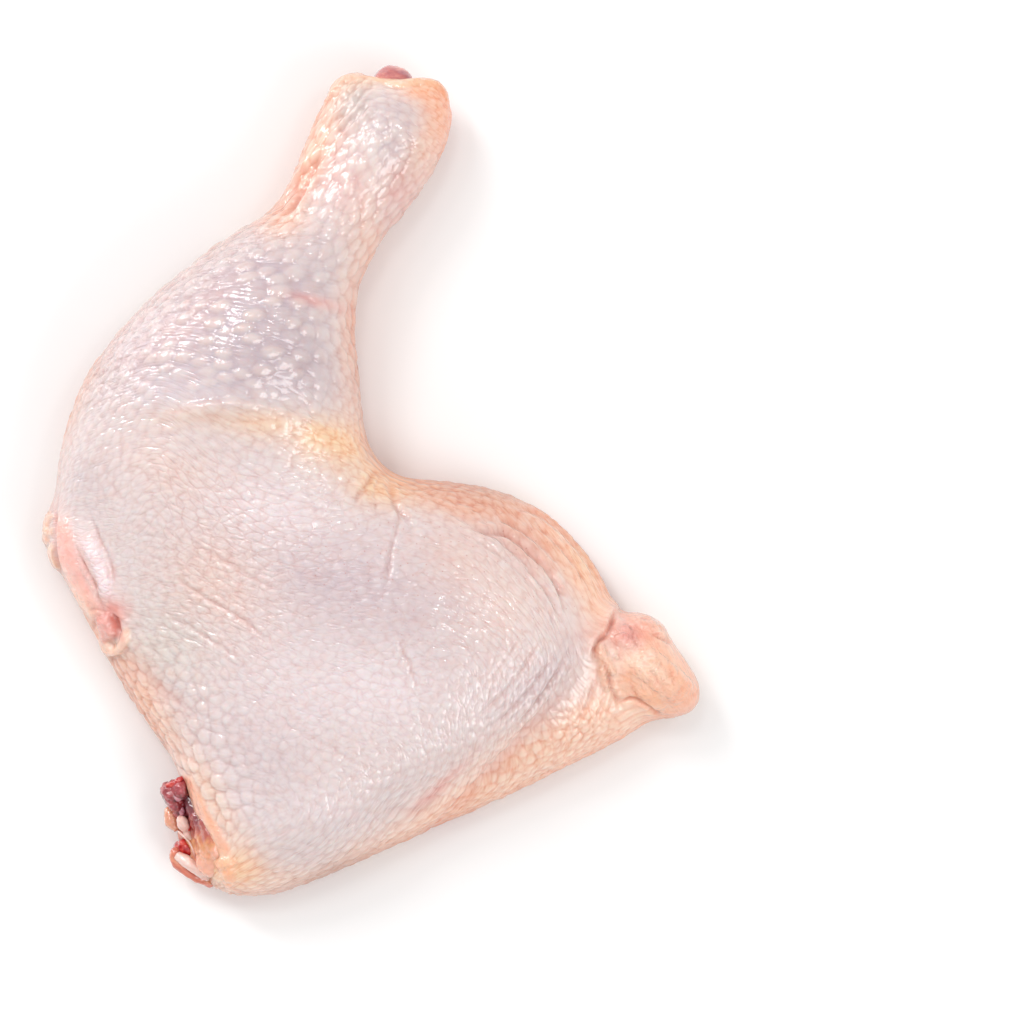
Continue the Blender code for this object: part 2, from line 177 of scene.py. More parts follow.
def tubeAlong(points, radii, sides=12):
    # a closed tube; its radius is given at even steps along it
    line = smoothLine(points, 5)
    sizes = np.interp(np.linspace(0, 1, len(line)), np.linspace(0, 1, len(radii)), radii)
    made = bmesh.new()
    rings = []
    for k, (place, radius) in enumerate(zip(line, sizes)):
        way = Vector(line[min(k + 1, len(line) - 1)] - line[max(k - 1, 0)]).normalized()
        side = way.cross(Vector((0, 0, 1))).normalized()
        over = side.cross(way)
        ring = []
        for angle in (2 * math.pi * j / sides for j in range(sides)):
            spot = Vector(place) + (side * math.cos(angle) + over * math.sin(angle)) * radius
            ring.append(made.verts.new((spot + Vector(hollowInFrame)) * mm))
        rings.append(ring)
    for first, second in zip(rings, rings[1:]):
        for j in range(sides):
            made.faces.new((first[j], first[(j + 1) % sides], second[(j + 1) % sides], second[j]))
    made.faces.new(list(reversed(rings[0])))
    made.faces.new(rings[-1])
    bmesh.ops.recalc_face_normals(made, faces=made.faces)
    return newPiece("tube", made)


def joinInto(target, others):
    with bpy.context.temp_override(active_object=target, selected_editable_objects=[target] + others):
        bpy.ops.object.join()


def remesh(piece, voxel):
    # one even mesh takes the place of the piece's own
    even = piece.modifiers.new("evenMesh", "REMESH")
    even.mode = "VOXEL"
    even.voxel_size = voxel * mm
    mesh = bpy.data.meshes.new_from_object(piece.evaluated_get(bpy.context.evaluated_depsgraph_get()))
    piece.modifiers.clear()
    piece.data = mesh


# The leg's skin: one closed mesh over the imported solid, fine on the side that shows.
legSkin = dict(
    voxel=1.26,            # the first even mesh; the skin side is halved once more
    easeFirst=14,          # rounds of easing, before the halving and after it
    easeAfter=2,
    undersideTilt=0.10,    # faces that look further down than this keep the coarse mesh
    rimLevel=17.0,         # the height of the rim in front of the joint
    easeNormals=6,
    easeOutwards=10,
    rollDown=((36.0, 0.57), (14.0, 0.5)),    # heights under which the pattern is rolled outwards, and how far
    margin=2.0,            # around the pattern's flat map
    sideEnds=(-0.85, 0.25),    # the skin has no relief where it looks further down than this, and how soon it has
    foot=0.8,              # nor on the table; height in which it fades
    seed=41,
)

# The cells of the skin: darts are thrown, and each keeps the others out of its own ellipse.
skinCells = dict(
    step=0.25,                # of the map on which they are laid
    thrown=0.35,              # share of the map's points that get a dart
    smallest=0.85,            # of the local cell size, and how much more the largest has
    varied=0.3,
    apart=0.8,                # cells kept free around each
    reach=1.5,                # cells around each that are worked out
    towardsHock=(-0.6, 0.8),
)

# Domes and creases of the cells. On the calf each dome is a small lens, steeper on the side towards the hock.
skinDomes = dict(
    calf=(-36, 38, 32, 19, 30),    # x, y, reach along and across, turn
    reach=0.66,                    # in cells, and what the calf takes off it
    calfReach=0.2,
    lean=0.25,
    roundness=2.2,
    calfRoundness=0.8,
    heights=(0.45, 1.1),           # least height of a dome, and how much more the highest has
    calfHeights=(-0.4, 2.2, 0.3, 1.3),    # the same on the calf, and the limits there
    creaseWidth=0.6,
    creaseDepth=0.6,
    calfCrease=0.7,                # how much shallower creases are on the calf
)

# How folds, steps and bands are shaped, and how far they hide the cells under them
skinFlow = dict(
    unevenSeed=7,
    unevenStep=2.2,        # between the values that make folds uneven
    foldWidth=(0.7, 0.6),  # least share, and how much the uneven map adds
    foldDepth=(0.65, 0.7),
    lipAway=2.2,           # in half widths, as the lip's own width and the width of the groove's painted shade are
    lipWidth=1.1,
    tint=0.8,
    stepFront=0.8,         # reach of a step's steep side
    bandEdge=(2.2, 1.9),   # a band hides the cells up to 0.63 of its half width, and less out to 1.16
    foldReach=5.0,         # how far each kind is worked out, in its own widths
    stepReach=2.5,
    bandReach=1.6,
    overCells=0.9,         # what a band takes off the cells' relief, and what a fold does
    foldOverCells=0.8,
)

# The near edge of the calf, where the skin is rough with small wet wrinkles
shinyEdge = dict(line=[(-73, 8), (-70, 21), (-60.5, 39), (-45.5, 54), (-25.5, 66), (-12, 80)], reach=8.0)

# Where the fine net of creases shows: x, y, reach along and across, turn, share
netPlaces = [(-30, -8, 26, 12, -20, 0.75), (-40, -30, 20, 14, -50, 0.5), (8, -48, 22, 10, 10, 0.3),
    (40, -46, 16, 12, -60, 0.6), (36, -18, 16, 8, -40, 0.4), (40, -66, 26, 8, 32, 0.6), (0, -86, 26, 8, 20, 0.4),
    (-50, -55, 14, 10, -58, 0.4), (6, 2, 14, 8, 0, 0.6), (-55, 6, 12, 8, 0, 0.4), (-20, 10, 20, 6, 0, 0.3)]

# Where the shader changes, as x, y, reach along and across, turn
skinPatches = dict(
    shank=(2, 80, 12, 22, -20),
    tailLumps=(68, -45, 14, 13),
    tailSmooth=(69.8, -46.8, 14, 14),
    dry=(-10, -24, 26, 12, -12),
    pores=(0, -20, 34, 22),
    flankPores=(40, -20, 22, 20),
)

# How strongly the fields of the skin show
fieldShares = dict(
    domeTint=(0.12, 0.4),            # everywhere, and more on the calf and the shank
    creaseTint=(0.12, 0.12, 0.1),    # everywhere, more over fat, less on the calf
    netted=(0.25, 0.6, 0.7),         # everywhere, more at netPlaces, at least this on the pocket's pale patch
    lumpy=(0.6, 0.6, 0.8),           # the tail, the bands, the near edge
    wrinkled=(0.9, 0.4, 1.2),        # less on the tail and the calf, more on the near edge
    side=(0.62, 0.6),                # the tilt at which a side starts, and over which it grows
)

# What the skin is like at named places
placeParts = ("x", "y", "reach", "cell size", "stretch", "turn", "dome height", "crease depth")
skinPlaces = {
    "hock": (14.5, 93.5, 9, 3.4, 1.3, -40, 0.1, 0.12),
    "hock front": (-6.8, 93.5, 7, 3, 2, 55, 0.22, 0.28),
    "shank": (-0.5, 73.5, 10, 3.9, 1.1, 40, 0.42, 0.24),
    "shank back": (10.5, 76, 6, 3.4, 1.3, 45, 0.22, 0.15),
    "neck of the shank": (-13, 61, 8, 4.2, 1.3, 20, 0.42, 0.22),
    "calf high": (-43, 46, 9, 4.3, 1.9, 26, 0.5, 0.2),
    "calf": (-30, 41, 12, 4.9, 1.8, 4, 0.52, 0.16),
    "calf front edge": (-66, 26, 9, 3.4, 1.8, 38, 0.42, 0.24),
    "calf back": (-9, 38, 8, 4.2, 1.7, -34, 0.42, 0.2),
    "calf low": (-38, 23, 8, 3.8, 1.9, -12, 0.2, 0.12),
    "knee": (-68, 8.5, 9, 2.8, 1.8, 68, 0.16, 0.18),
    "fat ridge": (-25, 13.5, 9, 3.1, 1.1, -10, 0.26, 0.2),
    "fat corner": (-5.5, 8.5, 7, 2.9, 1, 0, 0.18, 0.18),
    "above the thigh": (-38, 1, 9, 2.5, 2.8, -33, 0.18, 0.24),
    "thigh front": (-35, -26, 11, 2.4, 3, -36, 0.2, 0.3),
    "pocket": (-70, -20, 6, 1.7, 1.2, -65, 0.08, 0.06),
    "front edge": (-55, -57, 8, 3.8, 1.3, -50, 0.42, 0.34),
    "by the cut": (-41, -73, 7, 4.6, 1.15, -30, 0.62, 0.44),
    "thigh": (-8, -26, 14, 2.6, 1.15, -40, 0.05, 0.06),
    "thigh low": (-18, -66, 12, 2.6, 1.15, -20, 0.16, 0.14),
    "thigh gloss": (4.5, -54, 10, 2.3, 1.1, -60, 0.13, 0.16),
    "thigh back": (36, -26, 12, 2.7, 1.6, -65, 0.05, 0.06),
    "thigh wrinkles": (40, -52, 9, 2.3, 3, -122, 0.16, 0.26),
    "back strip": (48, -69, 9, 2.8, 1.5, -128, 0.26, 0.2),
    "back low": (8, -91, 9, 3, 1.5, -140, 0.26, 0.22),
    "corner": (-25, -97, 8, 3.2, 1.6, -155, 0.26, 0.2),
    "flank": (47, -13, 9, 3.1, 1.8, -50, 0.14, 0.15),
    "flank high": (22, -1, 7, 3, 1.4, -20, 0.24, 0.2),
    "tail": (70, -46, 8, 3, 1, -40, 0.03, 0.02),
}

# Folds and ridges drawn on the skin: points along each, half width, depth (a ridge is negative), lip share
skinFolds = {
    "hock front fold": ([[(-11.5, 83.5), (-13.5, 79.8), (-14.8, 77.3), (-17.3, 71.8), (-19.8, 68), (-23.5, 65.5)]],
        0.9, 1.3, 0.8),
    "hock front fold 2": ([[(-15, 81), (-17.3, 76), (-20, 71), (-25.5, 65.5)]], 0.6, 0.8, 0.7),
    "hock ridges": ([[(0.5, 101), (-4, 97), (-8, 92.5), (-12, 88.5)], [(-2.5, 101), (-6, 97.5), (-10, 93.5)],
        [(2, 99), (-2, 94.8), (-6, 90.5), (-11, 85.5)], [(2.5, 96), (-0.5, 92.5), (-5, 88), (-9, 84)], [(-8, 99),
        (-10.5, 96), (-12, 93.5)]], 0.6, -0.6, 0.4),
    "thigh and flank": ([[(20, -9.5), (28, -12), (34, -12.8), (39.5, -17), (43.5, -21), (47, -26.5), (51.5, -32)]],
        0.7, 0.75, 0.5),
    "beside the flank": ([[(30, -8), (37, -11.5), (42.5, -15.5), (46.5, -20)], [(36, -19), (41, -23.5), (45, -29.5),
        (47.5, -36)], [(42.2, -20.8), (45.5, -24), (47.2, -28.5), (48.5, -34)]], 0.5, 0.5, 0.4),
    "back valley": ([[(7, -91), (17, -84.5), (24.5, -76.5), (33.5, -67), (39.5, -60.3), (47, -53), (54, -45)]],
        2.2, 0.5, 0.2),
    "tail root": ([[(60.8, -30.2), (60, -33.8), (58.5, -37.2), (56.2, -39.5), (55.5, -41.5), (56, -43.5),
        (57, -44.8)]], 0.6, 1.5, 0.3),
    "tail root low": ([[(56.5, -42.8), (58.2, -45.5), (59.2, -48.8), (59.9, -51.5), (61.5, -54.2), (63.2, -56.2)]],
        0.5, 1.2, 0.3),
    "tail lower crease": ([[(60.2, -52.8), (62.5, -53.9), (64.5, -53.5), (66.5, -53.8), (68.8, -55.2), (71, -56.8),
        (73, -58)]], 0.5, 1, 0.3),
    "tail top split": ([[(69, -36.5), (71, -37.8), (73, -38.8), (75.2, -40.2)]], 0.4, 0.7, 0.3),
    "tail pink crease": ([[(64.2, -34), (64.5, -36.2), (65.2, -38.8), (66.8, -40.2), (69, -40.8)]], 0.4, 0.6, 0.3),
    "tail lobe crease": ([[(58, -38.2), (59.2, -38.5), (61, -40.2), (62.2, -42.8), (63.8, -44.8)]], 0.4, 0.5, 0.3),
    "tail inner crease": ([[(64.8, -47.5), (64.5, -50), (65.5, -52), (67.8, -53.8)]], 0.4, 0.6, 0.3),
    "tail cross crease 1": ([[(70, -42.5), (71.5, -44), (72.2, -46)]], 0.4, 0.4, 0.6),
    "tail cross crease 2": ([[(73, -46.5), (74.5, -47.8), (75.2, -49.8)]], 0.4, 0.35, 0.6),
    "tail cross crease 3": ([[(67, -43.5), (69.5, -46.5), (72, -50), (75, -53)]], 0.45, 0.35, 0.6),
    "knee side crease": ([[(-78.8, -4), (-78.6, -7.8), (-78.4, -11.8), (-78, -16), (-77.6, -19.8), (-77.2, -24)]],
        0.45, 0.9, 0.3),
    "pocket valley": ([[(-70, -6), (-68.5, -10.2), (-67.2, -14), (-65, -18.2), (-64, -22.8), (-64, -27)]],
        0.6, 0.6, 0.3),
    "pocket red crease": ([[(-74, -14.2), (-72.2, -18), (-70.5, -21.5), (-68.8, -24.5), (-67.8, -28.2), (-66.5, -31),
        (-64.8, -32.5)]], 0.4, 0.8, 0.3),
    "pocket pit": ([[(-65, -31.8), (-63.9, -33.6), (-63.1, -35.6), (-62.7, -37.6)]], 0.9, 1, 0.5),
    "pocket slit": ([[(-64.6, -38.6), (-63.4, -37.6), (-62.9, -36)]], 0.6, 0.6, 0.5),
    "pocket cross creases": ([[(-70.2, -31.8), (-68.8, -31), (-67, -31.4), (-65.5, -31.8)], [(-68.5, -36.5),
        (-68.8, -34.5), (-67.8, -33)]], 0.35, 0.4, 0.3),
    "knee hollow": ([[(1.5, 4), (-0.5, 0.5), (-3, -3), (-4, -6.5)], [(4.5, 2.5), (4.8, -2), (7, -6.5), (11, -12)]],
        0.6, 0.5, 0.5),
    "knee hollow low": ([[(3, 3.5), (1, -1.5), (1.5, -6), (2, -9)]], 0.5, 0.4, 0.5),
    "scratches": ([[(6.3, -2), (7, -9), (5.3, -16), (4.6, -22), (3.5, -28)], [(6.2, -35), (8, -41), (10.5, -47),
        (12.2, -53)]], 0.5, 0.45, 0.4),
    "flank arc 1": ([[(13, -4), (22, -8.5), (31, -13.5), (38, -19.5), (44, -27), (48, -35), (49.5, -42)]],
        0.5, 0.4, 0.5),
    "flank arc 2": ([[(17, -10), (27, -14.5), (35.5, -20.5), (42, -28), (46, -36), (46.5, -43)]], 0.45, 0.3, 0.5),
    "flank arc 3": ([[(38, -8), (45, -13.5), (51, -20.5), (55, -28)]], 0.5, 0.4, 0.5),
    "flank arc 4": ([[(30, -4.5), (40, -7), (48, -12.5), (54, -20), (57.5, -27)]], 0.5, 0.35, 0.5),
    "thigh fan 1": ([[(51, -38), (46, -47), (40, -55.5), (33, -62)]], 0.5, 0.5, 0.5),
    "thigh fan middle": ([[(47.5, -38), (42, -47.5), (35, -55.5), (28, -62)], [(43, -37), (37.5, -46), (31.5, -53),
        (24, -60)]], 0.5, 0.4, 0.5),
    "thigh fan 4": ([[(38, -36.5), (33, -44), (28, -50)]], 0.45, 0.3, 0.5),
    "thigh front crease 1": ([[(-50, -22), (-41, -28), (-31, -34), (-22, -41)]], 0.5, 0.4, 0.5),
    "thigh front crease 2": ([[(-55, -30), (-45, -35), (-36, -41), (-27, -47)]], 0.5, 0.35, 0.5),
    "thigh front crease 3": ([[(-47, -12), (-38, -18), (-29, -23), (-19, -29)]], 0.45, 0.3, 0.5),
    "tail fan 1": ([[(56.5, -46), (55, -51), (52.5, -57), (50, -61)]], 0.5, 0.4, 0.5),
    "tail fan 2": ([[(58.5, -51.5), (57.5, -55), (55.5, -59.5)]], 0.45, 0.4, 0.5),
    "front of the thigh fold": ([[(-64, -40), (-58, -46), (-50, -52), (-42, -58)]], 2, 0.5, 0.4),
    "shin scratch": ([[(-24, -58), (-12, -64), (-2, -70), (3, -74)]], 0.45, 0.25, 0.4),
}

# Edges where one layer of skin and fat lies over another: points along each, height (the right side is the higher
# one, or the left where it is negative), reach of the slope behind it
skinSteps = {
    "fat ridge": ([(-51.5, 16.5), (-45, 18.6), (-38, 19.8), (-30, 19.7), (-20, 17.4), (-12, 14.4), (-4, 10.8)],
        1.5, 5),
    "thigh over the back": ([(8, -88), (17, -82), (25, -74), (33, -64.5), (40, -57), (46, -50)], -0.5, 6),
    "flank over the tail": ([(61, -28), (60.5, -32), (59, -35.8), (57.2, -38.5), (55.5, -41), (55, -44)], 1.3, 4),
}

# Rolls of skin and fat that stand out of the leg: points along each with how far its middle is above the skin, or
# nothing for the rim's own level, and its radius along it
skinRolls = {
    "hock rim": ([(-6.5, 98.6, -2.2), (-1, 100.6, None), (2.5, 99.9, None), (7.2, 98.8, None), (11.5, 99.6, None),
        (16.5, 98.2, -2.4)], [2, 2, 1.7, 1.7, 2, 2.4]),
    "fat of the corner": ([(-36.6, -94, -0.6), (-35.2, -96.5, -0.8), (-33.4, -98.6, -1.2)], [2, 2.4, 2]),
    "pocket roll": ([(-72, -28, -2.2), (-69.2, -32, -1.2), (-66.6, -36, -1), (-65.2, -39.6, -1.4)],
        [2.2, 2.2, 2, 1.6]),
}

# Smooth bands that lie on the skin, where fat or a fold swells it and no cells show: points along each, half width,
# height, and the tone it takes with its share
skinBands = {
    "hock rim": ([[(-1.5, 102.5), (0.8, 101.9), (3, 101), (5, 100.1), (7.2, 99.5), (9.2, 99.9), (10.8, 100.4),
        (13.8, 100.8), (16.8, 99.9), (18.6, 98.2), (19.8, 96.2), (20.2, 93.5)]], 1.4, 0.9, "fat", 0.9),
    "hock left lobe": ([[(-1.5, 102), (-4, 102.2), (-6.5, 101.8), (-8.4, 100.5), (-10, 98.9), (-11, 97.2),
        (-11.8, 95)]], 1.5, 0.7, "peach", 0.8),
    "fat rim of the cut": ([[(-47.8, -71.8), (-46.2, -73.6), (-44.8, -75.5), (-43.1, -78.8), (-41.8, -81.5),
        (-40.2, -84.4), (-38.6, -87.2), (-36.6, -91.2), (-35.5, -94)]], 1.9, 0.9, "amber", 0.75),
    "corner fat": ([[(-39, -96), (-37.2, -94.5), (-35.5, -94.2), (-34, -95.5)]], 1.6, 0.6, "amber", 0.5),
    "corner fat low": ([[(-36.5, -95.5), (-35.5, -97.2), (-35.8, -99.2), (-37.5, -100)]], 1.7, 0.7, "amber", 0.5),
    "knee rolls": ([[(-79.5, -7), (-80.8, -8.8), (-81.2, -10.8), (-79.8, -11.2)], [(-78.8, -12), (-80.5, -12),
        (-81.5, -13.5), (-80.5, -15.2)]], 1.2, 0.8, "peach", 0.8),
    "knee roll low": ([[(-78.5, -15), (-79.5, -15.5), (-79.8, -17.2), (-79, -20), (-78.2, -22.2)]],
        1.1, 0.9, "peach", 0.8),
    "pocket bulge": ([[(-76.8, -6), (-76.6, -9), (-76.2, -14), (-75.2, -19.2), (-73.8, -23.2), (-71.8, -27.5),
        (-69.2, -31.8), (-67.2, -35.2)]], 2.2, 1.1, "blush", 0.75),
    "pocket pale patch": ([[(-71, -12.5), (-69.5, -16), (-67.8, -19.5), (-66.5, -23.2), (-66, -26.5),
        (-66.5, -29.5)]], 1.7, 0.8, "pale", 1),
    "pocket inner roll": ([[(-67, -32), (-66, -34.5), (-65, -37.5), (-64.5, -39.5)]], 2.2, 1.3, "rosy", 0.8),
    "pocket lip": ([[(-67.8, -37), (-66.8, -39.5), (-64.8, -41.5), (-62.8, -41.2), (-61.2, -39.2), (-60.8, -37),
        (-61.5, -35)]], 1.25, 1.5, "peach", 1),
    "tail left lobe": ([[(57.8, -39.2), (57, -41.2), (57.8, -43.5), (59, -46), (60, -48.5)]], 1.6, 1.2, "peach", 0.6),
    "tail small fold": ([[(57, -44.8), (57.5, -47.2), (58.2, -49.8), (59.2, -51.8)]], 0.9, 0.9, "peach", 0.6),
    "tail top lobe": ([[(62.5, -34), (65.5, -33.2), (69, -34.2), (71.8, -36.5), (73.8, -39.5)]],
        2, 0.7, "peach", 0.3),
    "tail pink lobe": ([[(60, -37.5), (61.8, -38.2), (63.8, -39), (65.5, -40.8)]], 1.8, 0.8, "blush", 0.8),
    # painted highlight: a pale ring laid over a low ridge
    "tail ring highlight": ([[(62, -36), (63, -35.6), (64.1, -36.2), (64.5, -37.5), (63.5, -38.1), (62, -37.2)]],
        0.6, 0.5, "pale", 0.9),
    # painted highlights: short pale strokes laid over low ridges
    "tail wrinkles and glints": ([[(69.6, -45.4), (71.2, -46.6)], [(71.6, -46), (73, -48.6)], [(73.6, -49.2), (75.4, -50.4)],
        [(70, -50.2), (72.2, -51.2)], [(73.4, -52), (75, -53)], [(60.4, -42), (61.4, -43.8)]], 0.5, 0.5, "pale", 0.5),
    "tail main lobe": ([[(65, -42), (68.2, -44.5), (72, -47.5), (76, -51.2), (79, -54)]], 4.2, 1.3, "peach", 0.3),
    "tail low lobe": ([[(65.5, -50), (67.8, -52.2), (70.8, -54.2), (74, -55.8)]], 2.2, 0.7, "peach", 0.3),
}

# Soft swellings that are too small for the solid: x, y, reach along and across, turn, height
skinSwells = {
    "left lumps": (-41, -72.5, 6, 4, -30, 0.6),
    "low muscle": (-14, -84, 18, 4, 20, 0.5),
}


def placeField(q, part):
    # a value between the named places
    column = placeParts.index(part)
    total, weights = 0.0, 1e-12
    for values in skinPlaces.values():
        x, y, reach = values[:3]
        weight = np.exp(-((q[..., 0] - x) ** 2 + (q[..., 1] - y) ** 2) / (2 * reach ** 2)) + 1e-9
        total, weights = total + weight * values[column], weights + weight
    return total / weights


def makeCells(low, shape, rng):
    # maps of the distance to the nearest cell and to the next, each cell's own number, and how far uphill a place is
    rows, columns = shape
    step = skinCells["step"]
    grid = np.stack(np.meshgrid(low[0] + np.arange(columns) * step, low[1] + np.arange(rows) * step), axis=-1)
    size, stretch = placeField(grid, "cell size"), placeField(grid, "stretch")
    turn = np.radians(placeField(grid, "turn"))
    free = np.ones(shape, bool)
    nearest, following = np.full(shape, 9.0), np.full(shape, 9.0)
    number, lean = np.zeros(shape), np.zeros(shape)
    spots = rng.permutation(rows * columns)
    spots = spots[rng.random(len(spots)) < skinCells["thrown"]]
    made = 0
    for spot in spots:
        row, column = divmod(int(spot), columns)
        if not free[row, column]:
            continue
        cell = size[row, column] * (skinCells["smallest"] + skinCells["varied"] * rng.random())
        long = math.sqrt(stretch[row, column])
        cosine, sine = math.cos(turn[row, column]), math.sin(turn[row, column])
        half = int(skinCells["reach"] * cell * max(long, 1.0) / step) + 1
        r0, r1 = max(row - half, 0), min(row + half + 1, rows)
        c0, c1 = max(column - half, 0), min(column + half + 1, columns)
        dx = (np.arange(c0, c1) - column)[None, :] * step
        dy = (np.arange(r0, r1) - row)[:, None] * step
        along, across = (dx * cosine + dy * sine) / long, (dy * cosine - dx * sine) * long
        distance = np.sqrt(along ** 2 + across ** 2) / cell
        around = slice(r0, r1), slice(c0, c1)
        free[around] &= distance > skinCells["apart"]
        nearer = distance < nearest[around]
        following[around] = np.where(nearer, nearest[around], np.minimum(following[around], distance))
        nearest[around] = np.where(nearer, distance, nearest[around])
        number[around] = np.where(nearer, rng.random(), number[around])
        uphill = (dx * skinCells["towardsHock"][0] + dy * skinCells["towardsHock"][1]) / cell
        lean[around] = np.where(nearer, uphill, lean[around])
        made += 1
    print("skin cells:", made)
    return nearest, following, number, lean


def potential(towardX, towardY, step, rounds=500, closeEnough=1e-8):
    # the smooth map whose slope follows the given directions as nearly as it can, by conjugate gradients
    def spread(right, up):
        total = np.zeros_like(towardX)
        total[:, 1:] += right
        total[:, :-1] -= right
        total[1:] += up
        total[:-1] -= up
        return total

    wanted = spread((towardX[:, 1:] + towardX[:, :-1]) * 0.5 * step, (towardY[1:] + towardY[:-1]) * 0.5 * step)
    found = np.zeros_like(towardX)
    rest = wanted.copy()
    way = rest.copy()
    size = (rest * rest).sum()
    for _ in range(rounds):
        moved = spread(way[:, 1:] - way[:, :-1], way[1:] - way[:-1])
        share = size / max((way * moved).sum(), 1e-12)
        found += share * way
        rest -= share * moved
        newSize = (rest * rest).sum()
        if newSize < closeEnough:
            break
        way = rest + newSize / size * way
        size = newSize
    return found


def lookUp(raster, low, step, q):
    # a map's value at each place, blended between its points
    place = np.clip((q - low) / step, 0, np.array(raster.shape[::-1]) - 1.001)
    cell = place.astype(int)
    column, row = cell.T
    right, up = (place - cell).T
    return ((raster[row, column] * (1 - right) + raster[row, column + 1] * right) * (1 - up)
            + (raster[row + 1, column] * (1 - right) + raster[row + 1, column + 1] * right) * up)


def flowMap(q, low, high, step=2.0):
    # coordinates along and across the pull of the skin, counted in cells, for the fine creases
    x, y = (np.arange(a, b + step, step) for a, b in zip(low, high))
    grid = np.stack(np.meshgrid(x, y), axis=-1)
    turn, long = np.radians(placeField(grid, "turn")), np.sqrt(placeField(grid, "stretch"))
    cell = placeField(grid, "cell size")
    along = potential(np.cos(turn) / cell / long, np.sin(turn) / cell / long, step)
    across = potential(-np.sin(turn) / cell * long, np.cos(turn) / cell * long, step)
    return np.column_stack([lookUp(along, low, step, q), lookUp(across, low, step, q), np.zeros(len(q))])


def skinHeight(leg, rayStart=0.2, besideLeg=6.0):
    # gives a function that finds how high the skin is at a place
    tree = BVHTree.FromObject(leg, bpy.context.evaluated_depsgraph_get())

    def heightAt(x, y):
        top = Vector(((x + hollowInFrame[0]) * mm, (y + hollowInFrame[1]) * mm, rayStart))
        found = tree.ray_cast(top, Vector((0, 0, -1)))[0]
        return found.z / mm if found else besideLeg
    return heightAt


def evenLeg():
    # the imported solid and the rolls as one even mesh, halved on the side that shows
    made = bmesh.new()
    made.from_mesh(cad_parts["leg"].data)
    bmesh.ops.remove_doubles(made, verts=made.verts, dist=1e-6)
    leg = newPiece("skin", made)
    heightAt = skinHeight(leg)
    rolls = []
    for line, radii in skinRolls.values():
        spots = [(x, y, legSkin["rimLevel"] if lift is None else heightAt(x, y) + lift) for x, y, lift in line]
        rolls.append(tubeAlong(spots, radii))
    joinInto(leg, rolls)
    remesh(leg, legSkin["voxel"])
    mesh = leg.data
    placePoints(mesh, eased(pointsOf(mesh), edgesOf(mesh), legSkin["easeFirst"]))
    made = bmesh.new()
    made.from_mesh(mesh)
    made.normal_update()
    shown = [face for face in made.faces if face.normal.z > legSkin["undersideTilt"]]
    edges = list({edge for face in shown for edge in face.edges})
    bmesh.ops.subdivide_edges(made, edges=edges, cuts=1, use_grid_fill=True)
    made.to_mesh(mesh)
    made.free()
    points = eased(pointsOf(mesh), edgesOf(mesh), legSkin["easeAfter"])
    placePoints(mesh, points)
    return leg, points


def eachLine(table):
    # every line of a table, with the values of its row
    return [(line, *values) for lines, *values in table.values() for line in lines]


def foldRelief(plan, uneven):
    # how far the folds sink the skin, and the painted shade in each fold's groove
    folds, groove = np.zeros(len(plan)), np.zeros(len(plan))
    widthLeast, widthMore = skinFlow["foldWidth"]
    depthLeast, depthMore = skinFlow["foldDepth"]
    for line, width, depth, lip in eachLine(skinFolds):
        at, apart, fade = stroke(plan, line, skinFlow["foldReach"] * width)
        away = np.abs(apart) / (widthLeast + widthMore * uneven[at]) / width
        fade = fade * (depthLeast + depthMore * uneven[at])
        lipHeight = lip * np.exp(-((away - skinFlow["lipAway"]) / skinFlow["lipWidth"]) ** 2)
        folds[at] -= depth * (np.exp(-away ** 2) - lipHeight) * fade
        # painted shade in the groove, strongest along its middle
        tint = np.exp(-(away / skinFlow["tint"]) ** 2) * fade * np.clip(depth, 0, 1)
        groove[at] = np.maximum(groove[at], tint)
    return folds, groove


def stepRelief(plan):
    # how far each upper layer lifts the skin, gently behind its edge and steeply before it
    steps = np.zeros(len(plan))
    for line, height, reach in skinSteps.values():
        at, apart, fade = stroke(plan, line, skinFlow["stepReach"] * reach)
        slope = np.where(apart * np.sign(height) < 0, reach, skinFlow["stepFront"])
        steps[at] += abs(height) * fade * np.exp(-(apart / slope) ** 2)
    return steps


def bandRelief(plan):
    # how far the bands lift the skin, where they hide the cells, and the tones that they give
    bands, smooth, tones = np.zeros(len(plan)), np.zeros(len(plan)), {}
    full, falling = skinFlow["bandEdge"]
    for line, width, height, tone, share in eachLine(skinBands):
        at, apart, fade = stroke(plan, line, skinFlow["bandReach"] * width)
        away = np.abs(apart) / width
        bands[at] += height * np.sqrt(np.clip(1 - away ** 2, 0, 1)) * fade
        inside = np.clip(full - falling * away, 0, 1) * np.clip(3 * fade, 0, 1)
        smooth[at] = np.maximum(smooth[at], inside)
        toned = tones.setdefault(tone, np.zeros(len(plan)))
        toned[at] = np.maximum(toned[at], share * inside)
    return bands, smooth, tones


